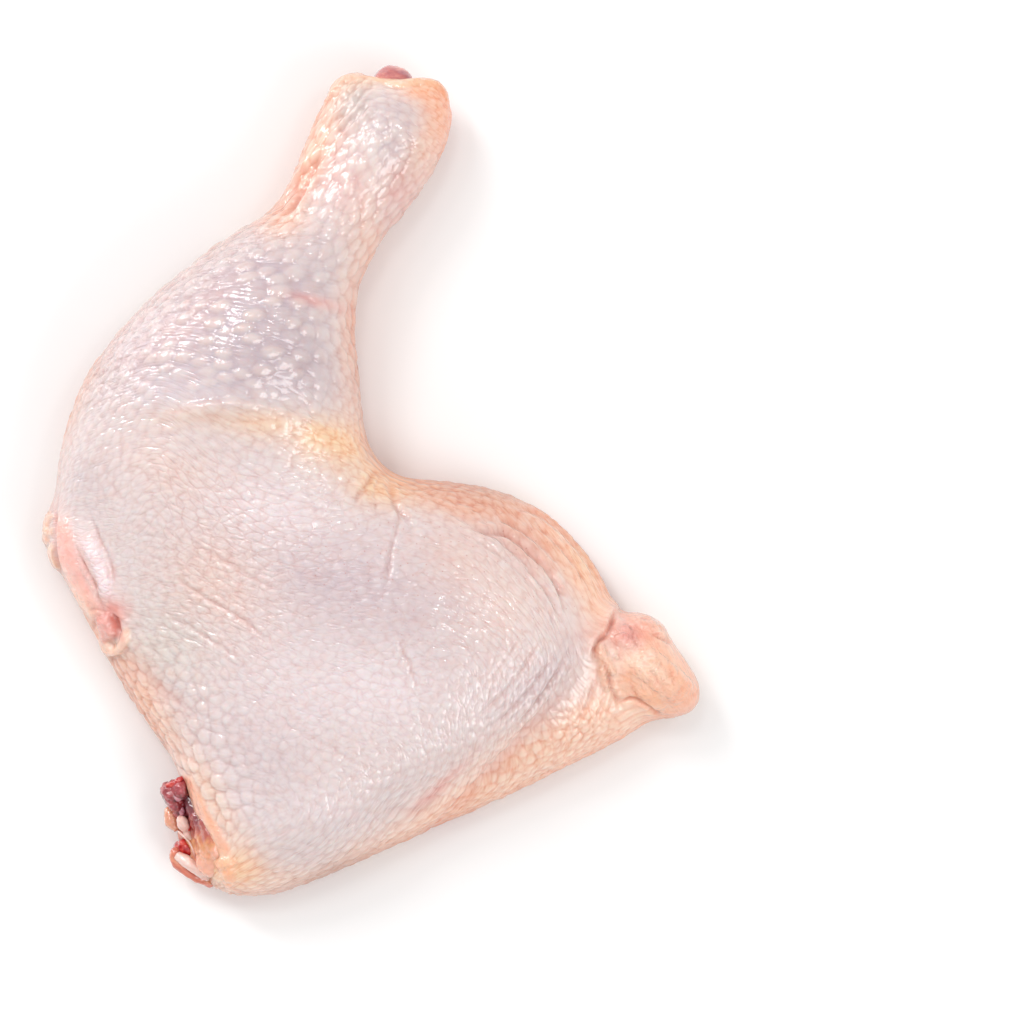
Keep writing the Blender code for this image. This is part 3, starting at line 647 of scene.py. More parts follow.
def makeLeg():
    leg, points = evenLeg()
    mesh = leg.data
    edges = edgesOf(mesh)
    normals = eased(readAll(mesh.vertices, "normal", 3), edges, legSkin["easeNormals"])
    normals /= np.linalg.norm(normals, axis=1)[:, None]

    # The pattern's own flat map: the plan, rolled outwards where the skin turns down.
    plan = points[:, :2]
    down = sum(share * np.maximum(level - points[:, 2], 0) for level, share in legSkin["rollDown"])
    q = plan + eased(normals, edges, legSkin["easeOutwards"])[:, :2] * down[:, None]
    low, high = q.min(0) - legSkin["margin"], q.max(0) + legSkin["margin"]
    shape = tuple(np.ceil((high - low) / skinCells["step"]).astype(int)[::-1] + 1)
    maps = makeCells(low, shape, np.random.default_rng(legSkin["seed"]))
    near, following, number, lean = (lookUp(raster, low, skinCells["step"], q) for raster in maps)

    domes = skinDomes
    calf = blob(q, *domes["calf"])
    reach = (domes["reach"] - domes["calfReach"] * calf) * (1 - domes["lean"] * calf * lean / np.maximum(near, 0.05))
    dome = np.clip(1 - (near / reach) ** (domes["roundness"] + domes["calfRoundness"] * calf), 0, 1)
    crease = np.exp(-((following - near) * placeField(q, "cell size") / domes["creaseWidth"]) ** 2)
    least, more = domes["heights"]
    calfLeast, calfMore, lowest, highest = domes["calfHeights"]
    raised = (least + more * number) * (1 - calf) + np.clip(calfMore * number + calfLeast, lowest, highest) * calf
    sunk = domes["creaseDepth"] * crease * (1 - domes["calfCrease"] * calf)
    creaseDepth = placeField(q, "crease depth")
    cells = placeField(q, "dome height") * dome * raised - creaseDepth * sunk

    coarse = np.random.default_rng(skinFlow["unevenSeed"]).random((120, 120))
    folds, groove = foldRelief(plan, lookUp(coarse, low, skinFlow["unevenStep"], q))
    bands, smooth, bandTones = bandRelief(plan)
    swells = sum(height * blob(points, *place) for *place, height in skinSwells.values())
    relief = cells * (1 - skinFlow["foldOverCells"] * groove) * (1 - skinFlow["overCells"] * smooth)
    relief += bands + folds + stepRelief(plan) + swells
    tilt, tiltFade = legSkin["sideEnds"]
    skinSide = np.clip((normals[:, 2] - tilt) / tiltFade, 0, 1) * np.clip(points[:, 2] / legSkin["foot"], 0, 1)
    points = points + normals * (relief * skinSide)[:, None]
    points[:, 2] = np.maximum(points[:, 2], 0)
    placePoints(mesh, points)

    # what the skin's nodes read: first where each tone shows
    fields = {"flow": flowMap(q, low, high), "flat": np.column_stack([q, np.zeros(len(q))])}
    for tone, (_, places) in skinTones.items():
        share = sum(most * blob(points, *place) for *place, most in places)
        fields[tone] = np.clip(share + bandTones.get(tone, 0.0), 0, 1)
    patch = {name: blob(points, *place) for name, place in skinPatches.items()}
    at, apart, fade = stroke(points[:, :2], shinyEdge["line"], 2 * shinyEdge["reach"])
    shiny = np.zeros(len(points))
    shiny[at] = fade * np.exp(-(apart / shinyEdge["reach"]) ** 2)
    warm = np.clip(fields["peach"] + fields["fat"], 0, 1)
    shares = fieldShares
    # the creases' darker tone: partly their own pink, partly painted shade
    tint, warmTint, calfTint = shares["creaseTint"]
    creased = (tint + warmTint * warm - calfTint * calf) * np.clip(creaseDepth / 0.2, 0, 1.8) * (1 - smooth)
    everywhere, atPlaces, inPocket = shares["netted"]
    netted = everywhere + atPlaces * sum(most * blob(points, *place) for *place, most in netPlaces)
    netted = np.clip((netted - calf) * (1 - smooth), 0, 1)
    onTail, onBands, onEdge = shares["lumpy"]
    offTail, offCalf, alongEdge = shares["wrinkled"]
    fields.update(
        dome=dome * np.clip(raised, 0, 1),
        crease=crease,
        groove=groove,
        skinSide=skinSide,
        warm=warm,
        domeTint=shares["domeTint"][0] + shares["domeTint"][1] * np.maximum(calf, patch["shank"]),
        creaseTint=np.clip(creased, 0, 1),
        netted=np.maximum(netted, inPocket * fields["pale"] * (points[:, 0] < 0)),
        lumpy=np.maximum(np.clip(onTail * patch["tailLumps"] + onBands * smooth, 0, 1), onEdge * shiny),
        wrinkled=np.clip(1 - offTail * patch["tailSmooth"] - smooth - offCalf * calf, 0, 1) + alongEdge * shiny,
        side=np.clip((shares["side"][0] - normals[:, 2]) / shares["side"][1], 0, 1),
        dry=patch["dry"],
        pored=np.clip(patch["pores"] + patch["flankPores"], 0, 1),
    )
    for name, values in fields.items():
        kind, part = ("FLOAT", "value") if values.ndim == 1 else ("FLOAT_VECTOR", "vector")
        mesh.attributes.new(name, kind, "POINT").data.foreach_set(part, values.astype(np.float32).ravel())
    mesh.shade_smooth()
    print("skin:", sum(len(face.vertices) - 2 for face in mesh.polygons), "triangles")
    return leg


# Colours of the skin, each with the places where what lies under it shows: x, y, reach along and across, turn, share
skinTones = {
    "blush": ("#ffc2b6", [(-72, -22, 11, 5, -65, 0.6), (60, -37, 7, 4, 0, 0.7), (70, -36.5, 8, 4, -20, 0.3)]),
    # pale pinkish white: the pocket's pale patch, and painted highlights where the tail's ring and wrinkles take it
    "pale": ("#fbe9ec", [(-67.3, -19.5, 9, 2.6, -68, 0.8)]),
    "peach": ("#fdd7bf", [(-38, -24, 14, 11, -36, 0.3), (-58, -44, 10, 5, -55, 0.3), (19.5, -19, 10, 8, 0, 0.35),
        (-6.8, 100.5, 9, 3.5, 20, 0.9), (14.5, 99, 9, 4.5, -5, 1), (18.3, 92.3, 12, 5, 75, 0.8),
        (-11.8, 91, 12, 5, 65, 0.7), (-15.5, 77.3, 12, 4, 60, 0.9), (-21.8, 64.8, 6, 5, 0, 0.8),
        (-0.5, 61, 10, 4, 90, 0.6), (-5, 36, 22, 4, 90, 0.8), (-75.5, 21, 18, 4, 62, 0.5), (24.5, -4, 18, 5, -14, 1),
        (47, -15, 14, 6, -50, 1), (56.5, -27.8, 10, 5, -80, 0.8), (59, -60.5, 15, 9, 30, 1),
        (41.5, -69.5, 15, 9, 28, 1), (21, -81, 15, 7, 28, 0.9), (9.5, 79.5, 8, 4, 62, 0.6),
        (2, -91.5, 14, 5, 22, 0.6), (-33, -96.5, 9, 6, 0, 0.7), (70.8, -46.8, 14, 14, 0, 1),
        (-70.5, -34, 12, 4, -58, 0.9), (-55.5, -56.5, 14, 4.5, -58, 0.9), (32, -29, 15, 12, 0, 0.3),
        (-48, 3.5, 14, 7, -20, 0.25), (-38.5, -80, 16, 4, -62, 0.4), (-22, -99, 14, 4, 8, 0.4)]),
    "fat": ("#fcd8b0", [(-8, 9.8, 9, 6, 0, 1), (-25.5, 14.8, 14, 4, -6, 0.7), (-45.5, 17.3, 10, 3, 5, 0.4),
        (2, 1, 7, 6, 0, 0.8), (15, 99.5, 6, 3, 0, 0.9), (-1.8, 101, 7, 2.5, 0, 0.6), (9.5, -1.5, 10, 4, 0, 0.6),
        (54.5, -19, 8, 5, -70, 0.6), (-36.2, -96.5, 7, 5, 0, 1), (-39.3, -79, 10, 4, -60, 0.4)]),
    "lavender": ("#c6b5bb", [(-4, -24, 28, 16, -20, 0.5), (-36, 38, 30, 18, 30, 0.6), (-30, 26.5, 26, 6, -4, 0.55),
        (-33, 46, 22, 9, 30, 0.8), (-43, 31, 18, 10, 20, 0.6), (-18, 33.5, 10, 10, 0, 0.5), (5.8, 89.8, 6, 8, 0, 0.8),
        (5.8, 79.8, 5, 6, 0, 0.5), (-4.3, 94.8, 4, 6, 0, 0.4), (-10.5, -26.5, 16, 14, 0, 0.3),
        (17, -29, 14, 16, 0, 0.3), (-18, -54, 20, 12, 0, 0.25), (-25.5, -69, 16, 10, -50, 0.35),
        (-15.5, -93.5, 10, 4, 0, 0.15), (-70.5, 1, 7, 7, 0, 0.3), (7, -79, 10, 5, 35, 0.15),
        (42, -49, 14, 4, 45, 0.4)]),
    "rosy": ("#e79a90", [(7, 71, 8, 5, 70, 0.5), (-5.5, 73.5, 6, 8, 0, 0.35), (-9.3, 81, 12, 3, 60, 0.25),
        (-13, 44.8, 8, 1.5, -14, 0.6), (-72.5, -22.8, 16, 2, -69, 0.3), (-63.8, -32, 4, 3, 0, 1),
        (-63.1, -35.2, 4.5, 1, -72, 1), (64.5, -37, 6, 4, 0, 0.9), (-48, 38.5, 20, 5, 40, 0.2),
        (18, -74.5, 9, 1.3, 44, 0.5), (13.5, -78.5, 4, 1.2, 30, 0.4)]),
    # milky white: the skin's own pale tone, and a painted sheen on the thigh's glossy patch near (3.3, -51.5) and
    # along the calf's near edge near (-58, 38.5)
    "milky": ("#f3e8ec", [(-18, -50, 14, 12, 0, 0.3), (-34.2, -79, 8, 6, 0, 0.3), (-25.5, -5.3, 14, 7, -10, 0.5),
        (-45.5, 23.5, 14, 5, 0, 0.35), (3.3, -51.5, 12, 9, 0, 0.55), (-13, -79, 10, 6, 0, 0.3),
        (-58, 38.5, 14, 10, 45, 0.4)]),
    "grey": ("#d2cec4", [(-50.5, -39, 12, 9, -58, 0.5), (-4.3, 94.8, 4, 6, 0, 0.4)]),
    "ember": ("#e2a083", [(35, -14, 16, 3, -38, 0.3), (22, -4.2, 14, 3.5, -12, 0.6), (38, -10.5, 12, 4, -40, 0.5),
        (50, -22, 8, 3, -60, 0.1), (77, -54, 5, 3, 45, 0.5), (-60.5, -49, 12, 2.5, -58, 0.4),
        (56.5, -44, 8, 2, -80, 0.4)]),
    "amber": ("#fcb086", [(70, -54.5, 10, 3, -25, 0.5), (78, -52.5, 5, 5, 0, 0.6), (73, -43, 12, 2.5, -52, 0.5),
        (66, -49, 9, 4, -30, 0.35), (57.5, -24, 9, 2.5, -75, 0.2), (-36.5, -97.5, 5, 4, 0, 0.25),
        (16.5, 97, 7, 5, -50, 0.6), (18, 88, 5, 10, -15, 0.5), (10.5, 97.5, 4, 2, 0, 0.4)]),
    # darker tan: painted shade along the back band's lower edge and along the bottom edge, and a brownish tone at the
    # hip near (27, -1.5)
    "tan": ("#c19882", [(14.5, -89.8, 22, 3, 25, 0.9), (-10.5, -99, 12, 3, 15, 0.7), (27, -1.5, 12, 3, -10, 0.3),
        (-5, -94.5, 9, 3, 25, 0.3)]),
}

rawSkinLook = dict(
    colour="#e4d6d5",
    domeTop="#f0e0d6",
    creaseCool="#d8a8a4",    # the darker tone of the creases, partly their own pink and partly painted shade: cooler where muscle lies under them, warmer where fat does
    creaseWarm="#e6a07c",
    # painted shade in the folds' grooves
    groove="#e9a391",
    side="#f0b795",          # painted shade: the colour is multiplied darker and deeper peach down the sides, where the skin turns away from the light above
    mottle="#f5dcd4",
    pore="#b8574a",
    poreSpacing=4.2,         # in millimetres, and a pore's radius in spacings
    poreSize=0.045,
    muscleRed="#b3564c",     # the cut side
    musclePale="#dd9385",
    muscleFat="#f0d2ab",
    # cells of the fine creases, across and along the pull of the skin, as shares of a skin cell
    fineCells=dict(wrinkle=(0.42, 0.8), grain=(0.2, 0.2), net=(0.85, 0.95)),
    # uneven patches: their size in millimetres and how finely they break up
    patches=dict(wander=(7.0, 2.0), mottle=(2.6, 4.0), fatPatch=(26.0, 3.0), smallLump=(0.9, 2.0),
                 lump=(2.0, 2.0), roughness=(0.7, 3.0)),
)

# What the skin's nodes work out, a sum in each row: its name, the sum, and its values, each a number, a field of the
# skin or a row above. A star keeps the result between 0 and 1.
skinSums = [
    ("besideDomes", "SUBTRACT*", 1.0, "dome"),
    ("between", "MULTIPLY", "wrinkled", "besideDomes"),
    ("wrinkleLine", "SUBTRACT*", 1.0, "wrinkle"),
    ("wrinkleShare", "MULTIPLY", "wrinkleLine", "between"),
    ("netWidth", "MULTIPLY", "net", 2.4),
    ("netLine", "SUBTRACT*", 1.0, "netWidth"),
    ("netShare", "MULTIPLY", "netLine", "netted"),
    ("patchy", "MULTIPLY_ADD", "wander", 0.9, 0.55),
    ("onDomes", "MULTIPLY*", "dome", "domeTint"),
    # creases, wrinkles and the net are multiplied darker: partly their own pink, partly painted shade
    ("onCreases", "MULTIPLY*", "crease", "creaseTint"),
    ("wrinkleTint", "MULTIPLY_ADD", "warm", 0.35, 0.12),
    ("onWrinkles", "MULTIPLY*", "wrinkleShare", "wrinkleTint"),
    ("onNet", "MULTIPLY*", "netShare", 0.4),
    ("onGrooves", "MULTIPLY*", "groove", 0.6),
    # painted shade down the sides: the colour is multiplied darker and more peach there, more so over fat
    ("sideTint", "MULTIPLY_ADD", "warm", 0.4, 0.4),
    ("onSides", "MULTIPLY", "side", "sideTint"),
    ("mottled", "MULTIPLY_ADD*", "mottle", 1.2, -0.52),
    ("pore", "LESS_THAN", "poreAway", rawSkinLook["poreSize"]),
    ("poreTint", "MULTIPLY", "pore", "pored"),
    ("onPores", "MULTIPLY", "poreTint", 0.35),
    # wet lumps on the tail, the bands and the near edge, with painted shade in their hollows
    ("lumps", "MULTIPLY_ADD", "smallLump", 0.5, "lump"),
    ("lowLumps", "MULTIPLY_ADD*", "lumps", -3.0, 2.3),
    ("hollows", "MULTIPLY", "lowLumps", "lumpy"),
    ("inHollows", "MULTIPLY", "hollows", 0.4),
    ("rough", "MULTIPLY_ADD", "mottle", 0.22, 0.22),
    # the fine relief, in millimetres
    ("wrinkleRise", "MULTIPLY", "wrinkle", "between"),
    ("netPart", "MULTIPLY_ADD", "netted", 0.85, 0.15),
    ("netRise", "MULTIPLY", "net", "netPart"),
    ("poreSquare", "POWER", "poreAway", 2.0),
    ("beads", "MULTIPLY_ADD", "poreSquare", -0.5, "lumps"),
    ("grainy", "MULTIPLY", "grain", 0.004),
    ("withWrinkles", "MULTIPLY_ADD", "wrinkleRise", 0.1, "grainy"),
    ("withNet", "MULTIPLY_ADD", "netRise", 0.22, "withWrinkles"),
    ("withRoughness", "MULTIPLY_ADD", "roughness", 0.02, "withNet"),
    ("height", "MULTIPLY_ADD", "beads", "lumpy", "withRoughness"),
    # the water runs off the sides, so its film is thinner there
    ("notLumpy", "SUBTRACT", 1.0, "lumpy"),
    ("drained", "MULTIPLY", "side", "notLumpy"),
    ("wetPart", "MULTIPLY_ADD", "drained", -0.6, 1.0),
    ("film", "MULTIPLY_ADD*", "dry", -0.85, "wetPart"),
]


def rawSkin(mesh):
    # Raw poultry skin, plucked and wet: a thin see-through sheet of small domes. Fat shows through it yellow, muscle
    # lavender and pink, and the water on it gives each dome a glint.
    material, tree, shader = newMaterial("wet raw poultry skin")
    look = rawSkinLook
    fieldNames = [attribute.name for attribute in mesh.attributes if attribute.data_type == "FLOAT"]
    got = {name: addNode(tree, "Attribute", {}, "Fac", attribute_name=name) for name in fieldNames}
    flow, flat = (addNode(tree, "Attribute", {}, "Vector", attribute_name=name) for name in ("flow", "flat"))
    place = addNode(tree, "TexCoord", {}, "Object")
    for name, (size, detail) in look["patches"].items():
        got[name] = addNode(tree, "TexNoise", {"Vector": place, "Scale": 1 / (size * mm), "Detail": detail})

    # fine creases inside each dome, drawn out along the pull of the skin, about a millimetre apart
    loose = addNode(tree, "TexNoise", {"Vector": flow, "Scale": 0.5, "Detail": 1.0}, "Color", noise_dimensions="2D")
    bent = addNode(tree, "VectorMath", {0: loose, 1: (0.5, 0.5, 0.0), 2: flow}, operation="MULTIPLY_ADD")
    for name, (across, along) in look["fineCells"].items():
        stretched = addNode(tree, "Mapping", {"Vector": bent, "Scale": (1 / along, 1 / across, 1)})
        edge = addNode(tree, "TexVoronoi", {"Vector": stretched, "Scale": 1.0}, "Distance", voronoi_dimensions="2D",
                       feature="DISTANCE_TO_EDGE")
        steep = addNode(tree, "Math", {0: edge, 1: 3.0}, operation="MULTIPLY")
        got[name] = addNode(tree, "Math", {0: steep, 1: 1.0, 2: 0.6}, operation="SMOOTH_MIN")
    # feather pores: tiny red dots a few millimetres apart
    got["poreAway"] = addNode(tree, "TexVoronoi", {"Vector": flat, "Scale": 1 / look["poreSpacing"]}, "Distance",
                              voronoi_dimensions="2D")
    for name, work, *values in skinSums:
        got[name] = addNode(tree, "Math", {k: got.get(value, value) for k, value in enumerate(values)},
                            operation=work.strip("*"), use_clamp=work.endswith("*"))

    # the cut side, turned down: muscle in strands, with fat between
    drawn = addNode(tree, "Mapping", {"Vector": place, "Rotation": (0, 0, 0.5), "Scale": (60, 420, 200)})
    strands = addNode(tree, "TexNoise", {"Vector": drawn, "Scale": 1.0, "Detail": 5.0})
    fat = addNode(tree, "ValToRGB", {"Fac": got["fatPatch"]})
    fat.node.color_ramp.elements[0].position, fat.node.color_ramp.elements[1].position = 0.5, 0.58
    red, pale, yellow = (linearOf(look[name]) for name in ("muscleRed", "musclePale", "muscleFat"))
    muscle = addNode(tree, "Mix", {0: strands, 6: red, 7: pale}, 2, data_type="RGBA")
    flesh = addNode(tree, "Mix", {0: fat, 6: muscle, 7: yellow}, 2, data_type="RGBA")

    # the skin's colour is laid on in turn, each layer with its share: tones, domes, creases and wrinkles (partly
    # painted shade), painted shade in grooves and down the sides, pores, and painted shade in the lumps' hollows
    colour = linearOf(look["colour"])
    cool, warm = linearOf(look["creaseCool"]), linearOf(look["creaseWarm"])
    got["deep"] = addNode(tree, "Mix", {0: got["warm"], 6: cool, 7: warm}, 2, data_type="RGBA")
    layers = []
    for name, (tone, _) in skinTones.items():
        got["on " + name] = addNode(tree, "Math", {0: got[name], 1: got["patchy"]}, operation="MULTIPLY",
                                    use_clamp=True)
        layers.append(("on " + name, tone, "MIX"))
    layers += [("onDomes", look["domeTop"], "MIX"), ("onCreases", "deep", "MULTIPLY"),
               ("onWrinkles", "deep", "MULTIPLY"), ("onNet", "deep", "MULTIPLY"),
               ("onGrooves", look["groove"], "MULTIPLY"), ("onSides", look["side"], "MULTIPLY"),
               ("mottled", look["mottle"], "MULTIPLY"), ("onPores", look["pore"], "MIX"),
               ("inHollows", "deep", "MULTIPLY")]
    for share, tone, kind in layers:
        over = got[tone] if tone in got else linearOf(tone)
        colour = addNode(tree, "Mix", {0: got[share], 6: colour, 7: over}, 2, data_type="RGBA", blend_type=kind)
    colour = addNode(tree, "Mix", {0: got["skinSide"], 6: flesh, 7: colour}, 2, data_type="RGBA")

    setInputs(shader, {
        "Base Color": colour,
        "Roughness": got["rough"],
        "IOR": 1.4,
        "Normal": addNode(tree, "Bump", {"Height": got["height"], "Distance": mm, "Strength": 0.8}),
        "Subsurface Weight": 0.3,
        "Subsurface Radius": (1.0, 0.45, 0.3),
        "Subsurface Scale": 1.4 * mm,
        "Coat Weight": got["film"],
        "Coat Roughness": 0.07,
        "Coat IOR": 1.62,
        "Coat Normal": addNode(tree, "Bump", {"Height": got["height"], "Distance": mm, "Strength": 1.0}),
    })
    return material


leg = makeLeg()
leg.data.materials.clear()
leg.data.materials.append(rawSkin(leg.data))
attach(leg, "root")
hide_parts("leg")
skinAt = skinHeight(leg)


def grown(name, look, underSkin=1.5):
    # lumps and tubes grown together, with an uneven soft surface
    parts = []
    for first, *rest in look["parts"]:
        if isinstance(first, list):
            line = [(x, y, skinAt(x, y) - underSkin if z is None else z) for x, y, z in first]
            parts.append(tubeAlong(line, *rest))
        else:
            parts.append(roundLump(first, *rest))
    piece = parts[0]
    piece.name = piece.data.name = name
    if len(parts) > 1:
        joinInto(piece, parts[1:])
    remesh(piece, look["voxel"])
    mesh = piece.data
    placePoints(mesh, eased(pointsOf(mesh), edgesOf(mesh), look["easing"]))
    size, height = look["uneven"]
    shift = Vector(look["seed"] * way for way in (7.1, 3.3, 1.7))
    for vertex, way in [(v, v.normal.copy()) for v in mesh.vertices]:
        vertex.co += way * noise.fractal(vertex.co / (size * mm) + shift, 0.6, 2.0, 3) * height * mm
    mesh.update()
    mesh.shade_smooth()
    return piece


def finished(piece, material, slot, *nodes):
    piece.data.materials.clear()
    piece.data.materials.append(material)
    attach(piece, "root")
    if nodes:
        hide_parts(*nodes)


def wetTissue(name, tones, size, rough, grain=(1.0, 1.0, 1.0), turn=0.0, deep=0.5, translucent=0.3, run=None):
    # Wet raw tissue: its tones follow an uneven noise of this size in millimetres, drawn out along its strands, and
    # over the run, if there is one, go from the first tone to the last between two places on Y
    material, tree, shader = newMaterial(name)
    place = addNode(tree, "TexCoord", {}, "Object")
    spun = addNode(tree, "Mapping", {"Vector": place, "Rotation": (0, 0, math.radians(turn))})
    drawn = addNode(tree, "Mapping", {"Vector": spun, "Scale": tuple(1 / (size * mm * g) for g in grain)})
    share = addNode(tree, "TexNoise", {"Vector": drawn, "Scale": 1.0, "Detail": 4.0, "Roughness": 0.6})
    if run:
        upwards = addNode(tree, "SeparateXYZ", {0: place}, "Y")
        start, end = ((y + hollowInFrame[1]) * mm for y in run)
        gone = addNode(tree, "MapRange", {"Value": upwards, "From Min": start, "From Max": end, "To Min": 0.08,
                                          "To Max": 0.58})
        share = addNode(tree, "Math", {0: share, 1: 0.35, 2: gone}, operation="MULTIPLY_ADD")
    colour = addNode(tree, "ValToRGB", {"Fac": share})
    ramp = colour.node.color_ramp
    ramp.elements[0].position, ramp.elements[0].color = 0.3, linearOf(tones[0])
    ramp.elements[1].position, ramp.elements[1].color = 0.7, linearOf(tones[-1])
    for k, tone in enumerate(tones[1:-1], 1):
        ramp.elements.new(0.3 + 0.4 * k / (len(tones) - 1)).color = linearOf(tone)
    fine = addNode(tree, "TexNoise", {"Vector": drawn, "Scale": 3.0, "Detail": 3.0})
    setInputs(shader, {
        "Base Color": colour,
        "Roughness": addNode(tree, "Math", {0: fine, 1: 0.2, 2: rough}, operation="MULTIPLY_ADD"),
        "IOR": 1.4,
        "Normal": addNode(tree, "Bump", {"Height": fine, "Distance": 0.3 * mm, "Strength": deep}),
        "Subsurface Weight": translucent,
        "Subsurface Radius": (1.0, 0.35, 0.25),
        "Subsurface Scale": 1.0 * mm,
        "Coat Weight": 1.0,
        "Coat Roughness": 0.06,
        "Coat IOR": 1.7,
    })
    return material


# marrow laid open by the saw: dark and grainy, with a strong wet gloss
redMarrow = wetTissue("red bone marrow, sawn", ["#56131c", "#8a2530", "#b0434a", "#d58188"], 2.2, 0.1,
                      grain=(1.0, 1.6, 1.0), turn=30, deep=0.7)
# bone and gristle, wet with blood: pinkish white, smooth, with streaks along the grain
wetBone = wetTissue("wet bone and gristle", ["#dba093", "#ecc3b6", "#f6ded5"], 3.0, 0.18, grain=(2.0, 0.8, 1.0),
                    turn=37)
# muscle torn from the rib: orange red strands
pinkMeat = wetTissue("raw poultry meat", ["#bd5443", "#d97a5f", "#eda582"], 3.0, 0.18, grain=(3.0, 0.8, 1.0), turn=33)
# cut thigh meat with fat: dark red at the bone, paler and more orange towards the corner
darkMeat = wetTissue("raw dark meat", ["#702532", "#9c4348", "#c0614e", "#e29867", "#f3b39a"], 3.0, 0.12,
                     grain=(0.7, 2.4, 1.0), turn=24, deep=0.8, run=(-79.0, -95.0))
# thin films over the marrow and over fat: what is under them shines through
purpleFilm = wetTissue("purple film over the marrow", ["#a04a5c", "#c98593", "#e6b9bd"], 1.5, 0.1)
peachFilm = wetTissue("raw fat under a red film", ["#cf8467", "#e09b7c", "#efb798"], 3.0, 0.2, translucent=0.5)
# the joint's cartilage, stained by blood: smooth, rosy and very shiny
jointCap = wetTissue("wet joint cartilage", ["#a9555f", "#cd7b76", "#eda592"], 4.5, 0.1, grain=(1.5, 0.7, 1.0))
# fresh blood: bright red and smooth as a liquid
freshBlood = wetTissue("fresh blood", ["#96101a", "#c31f22", "#e0503f"], 1.6, 0.05)

# Each piece is lumps (middle, radii, turn and tilt) and tubes (points along it, radii), grown together on voxels of
# this size and eased; its surface is uneven in waves of this length and height.

# the red cap over the joint at the hock
hockCap = dict(voxel=0.5, easing=3, uneven=(4, 0.25), seed=1, parts=[
    ((5.2, 99.4, 13.2), (5.5, 5.3, 5), 0),
])
finished(grown("hockCap", hockCap), jointCap, "joint_cap", "hock_cartilage")

# the sawn bone at the top of the cut, dark with marrow
marrowBone = dict(voxel=0.3, easing=2, uneven=(1.8, 0.35), seed=2, parts=[
    ((-50.4, -77.5, 11.6), (2.3, 3.2, 3.6), 25),
    ((-48, -76.4, 12.8), (2.3, 2.9, 3.6), 25, 12),
    ((-49.4, -79.8, 10.2), (2, 3.4, 3.4), 30),
    ((-46.5, -75.5, 12.2), (1.1, 2.6, 3), 24),
    ((-48.5, -79, 8.4), (3, 5.2, 4.2), 25),
    ((-48.5, -82, 10), (1.5, 2, 2.6), 30),
])
finished(grown("marrowBone", marrowBone), redMarrow, "marrow", "spine_bone")

# the bright red rim around it
redEdge = dict(voxel=0.25, easing=2, uneven=(1.4, 0.2), seed=11, parts=[
    ([(-46.8, -73.1, 14.6), (-48, -73.9, 14.8), (-49.5, -74.8, 14.4), (-51.2, -75.5, 13.6), (-52.4, -76.8, 12)],
     [0.5, 0.8, 0.9, 0.8, 0.5]),
    ([(-46.4, -73.5, 14.2), (-45.8, -75.2, 14), (-45.5, -77, 13.2)], [0.4, 0.5, 0.4]),
])
finished(grown("redEdge", redEdge), freshBlood, "marrow")

# the pale film on its face
paleFacet = dict(voxel=0.25, easing=2, uneven=(1.2, 0.15), seed=12, parts=[
    ([(-49.8, -76, 14.2), (-49.4, -77.5, 14.4), (-48.4, -78.9, 14.2), (-47.5, -78.4, 14)], [0.35, 0.55, 0.5, 0.3]),
    ((-47.7, -81.6, 11.8), (0.9, 1.7, 1), 8),
])
finished(grown("paleFacet", paleFacet), purpleFilm, "marrow")

# the white nubs of gristle beside it
whiteNub = dict(voxel=0.25, easing=2, uneven=(1.4, 0.15), seed=3, parts=[
    ((-47.3, -84.9, 12.3), (1.5, 2.3, 1.4), 24),
    ((-46.1, -87.6, 11.4), (0.9, 2.1, 1.2), 30),
])
finished(grown("whiteNub", whiteNub), wetBone, "cartilage", "cartilage_nub")

# the white bone end at the bottom of the cut
ribRod = dict(voxel=0.3, easing=2, uneven=(2.5, 0.14), seed=4, parts=[
    ([(-48.9, -92.9, 10.8), (-47, -94, 11.6), (-44.9, -95.5, 11.8), (-42.8, -97, 11.4), (-40.8, -98.5, 10.2)],
     [1.1, 1.55, 1.55, 1.5, 1.3]),
])
finished(grown("ribRod", ribRod), wetBone, "cartilage", "rib_end")

# the red meat around the bone end
ribMeat = dict(voxel=0.35, easing=3, uneven=(2, 0.25), seed=5, parts=[
    ([(-48.3, -91.4, 10.4), (-49.2, -92, 10.2), (-49.4, -93.4, 9.8), (-48.8, -95.1, 9.4), (-46.9, -96.7, 9),
     (-44.4, -98.2, 8.8), (-41.8, -99.6, 8), (-40.4, -100.4, 6.4)], [0.8, 1.3, 1.4, 1.4, 1.4, 1.4, 1.3, 1]),
    ((-45.3, -96.6, 5.6), (6, 2.2, 4.2), -33),
    ((-48.6, -93.9, 7.4), (1.6, 2.2, 3.4), -20),
])
finished(grown("ribMeat", ribMeat), pinkMeat, "dark_meat", "rib_meat")

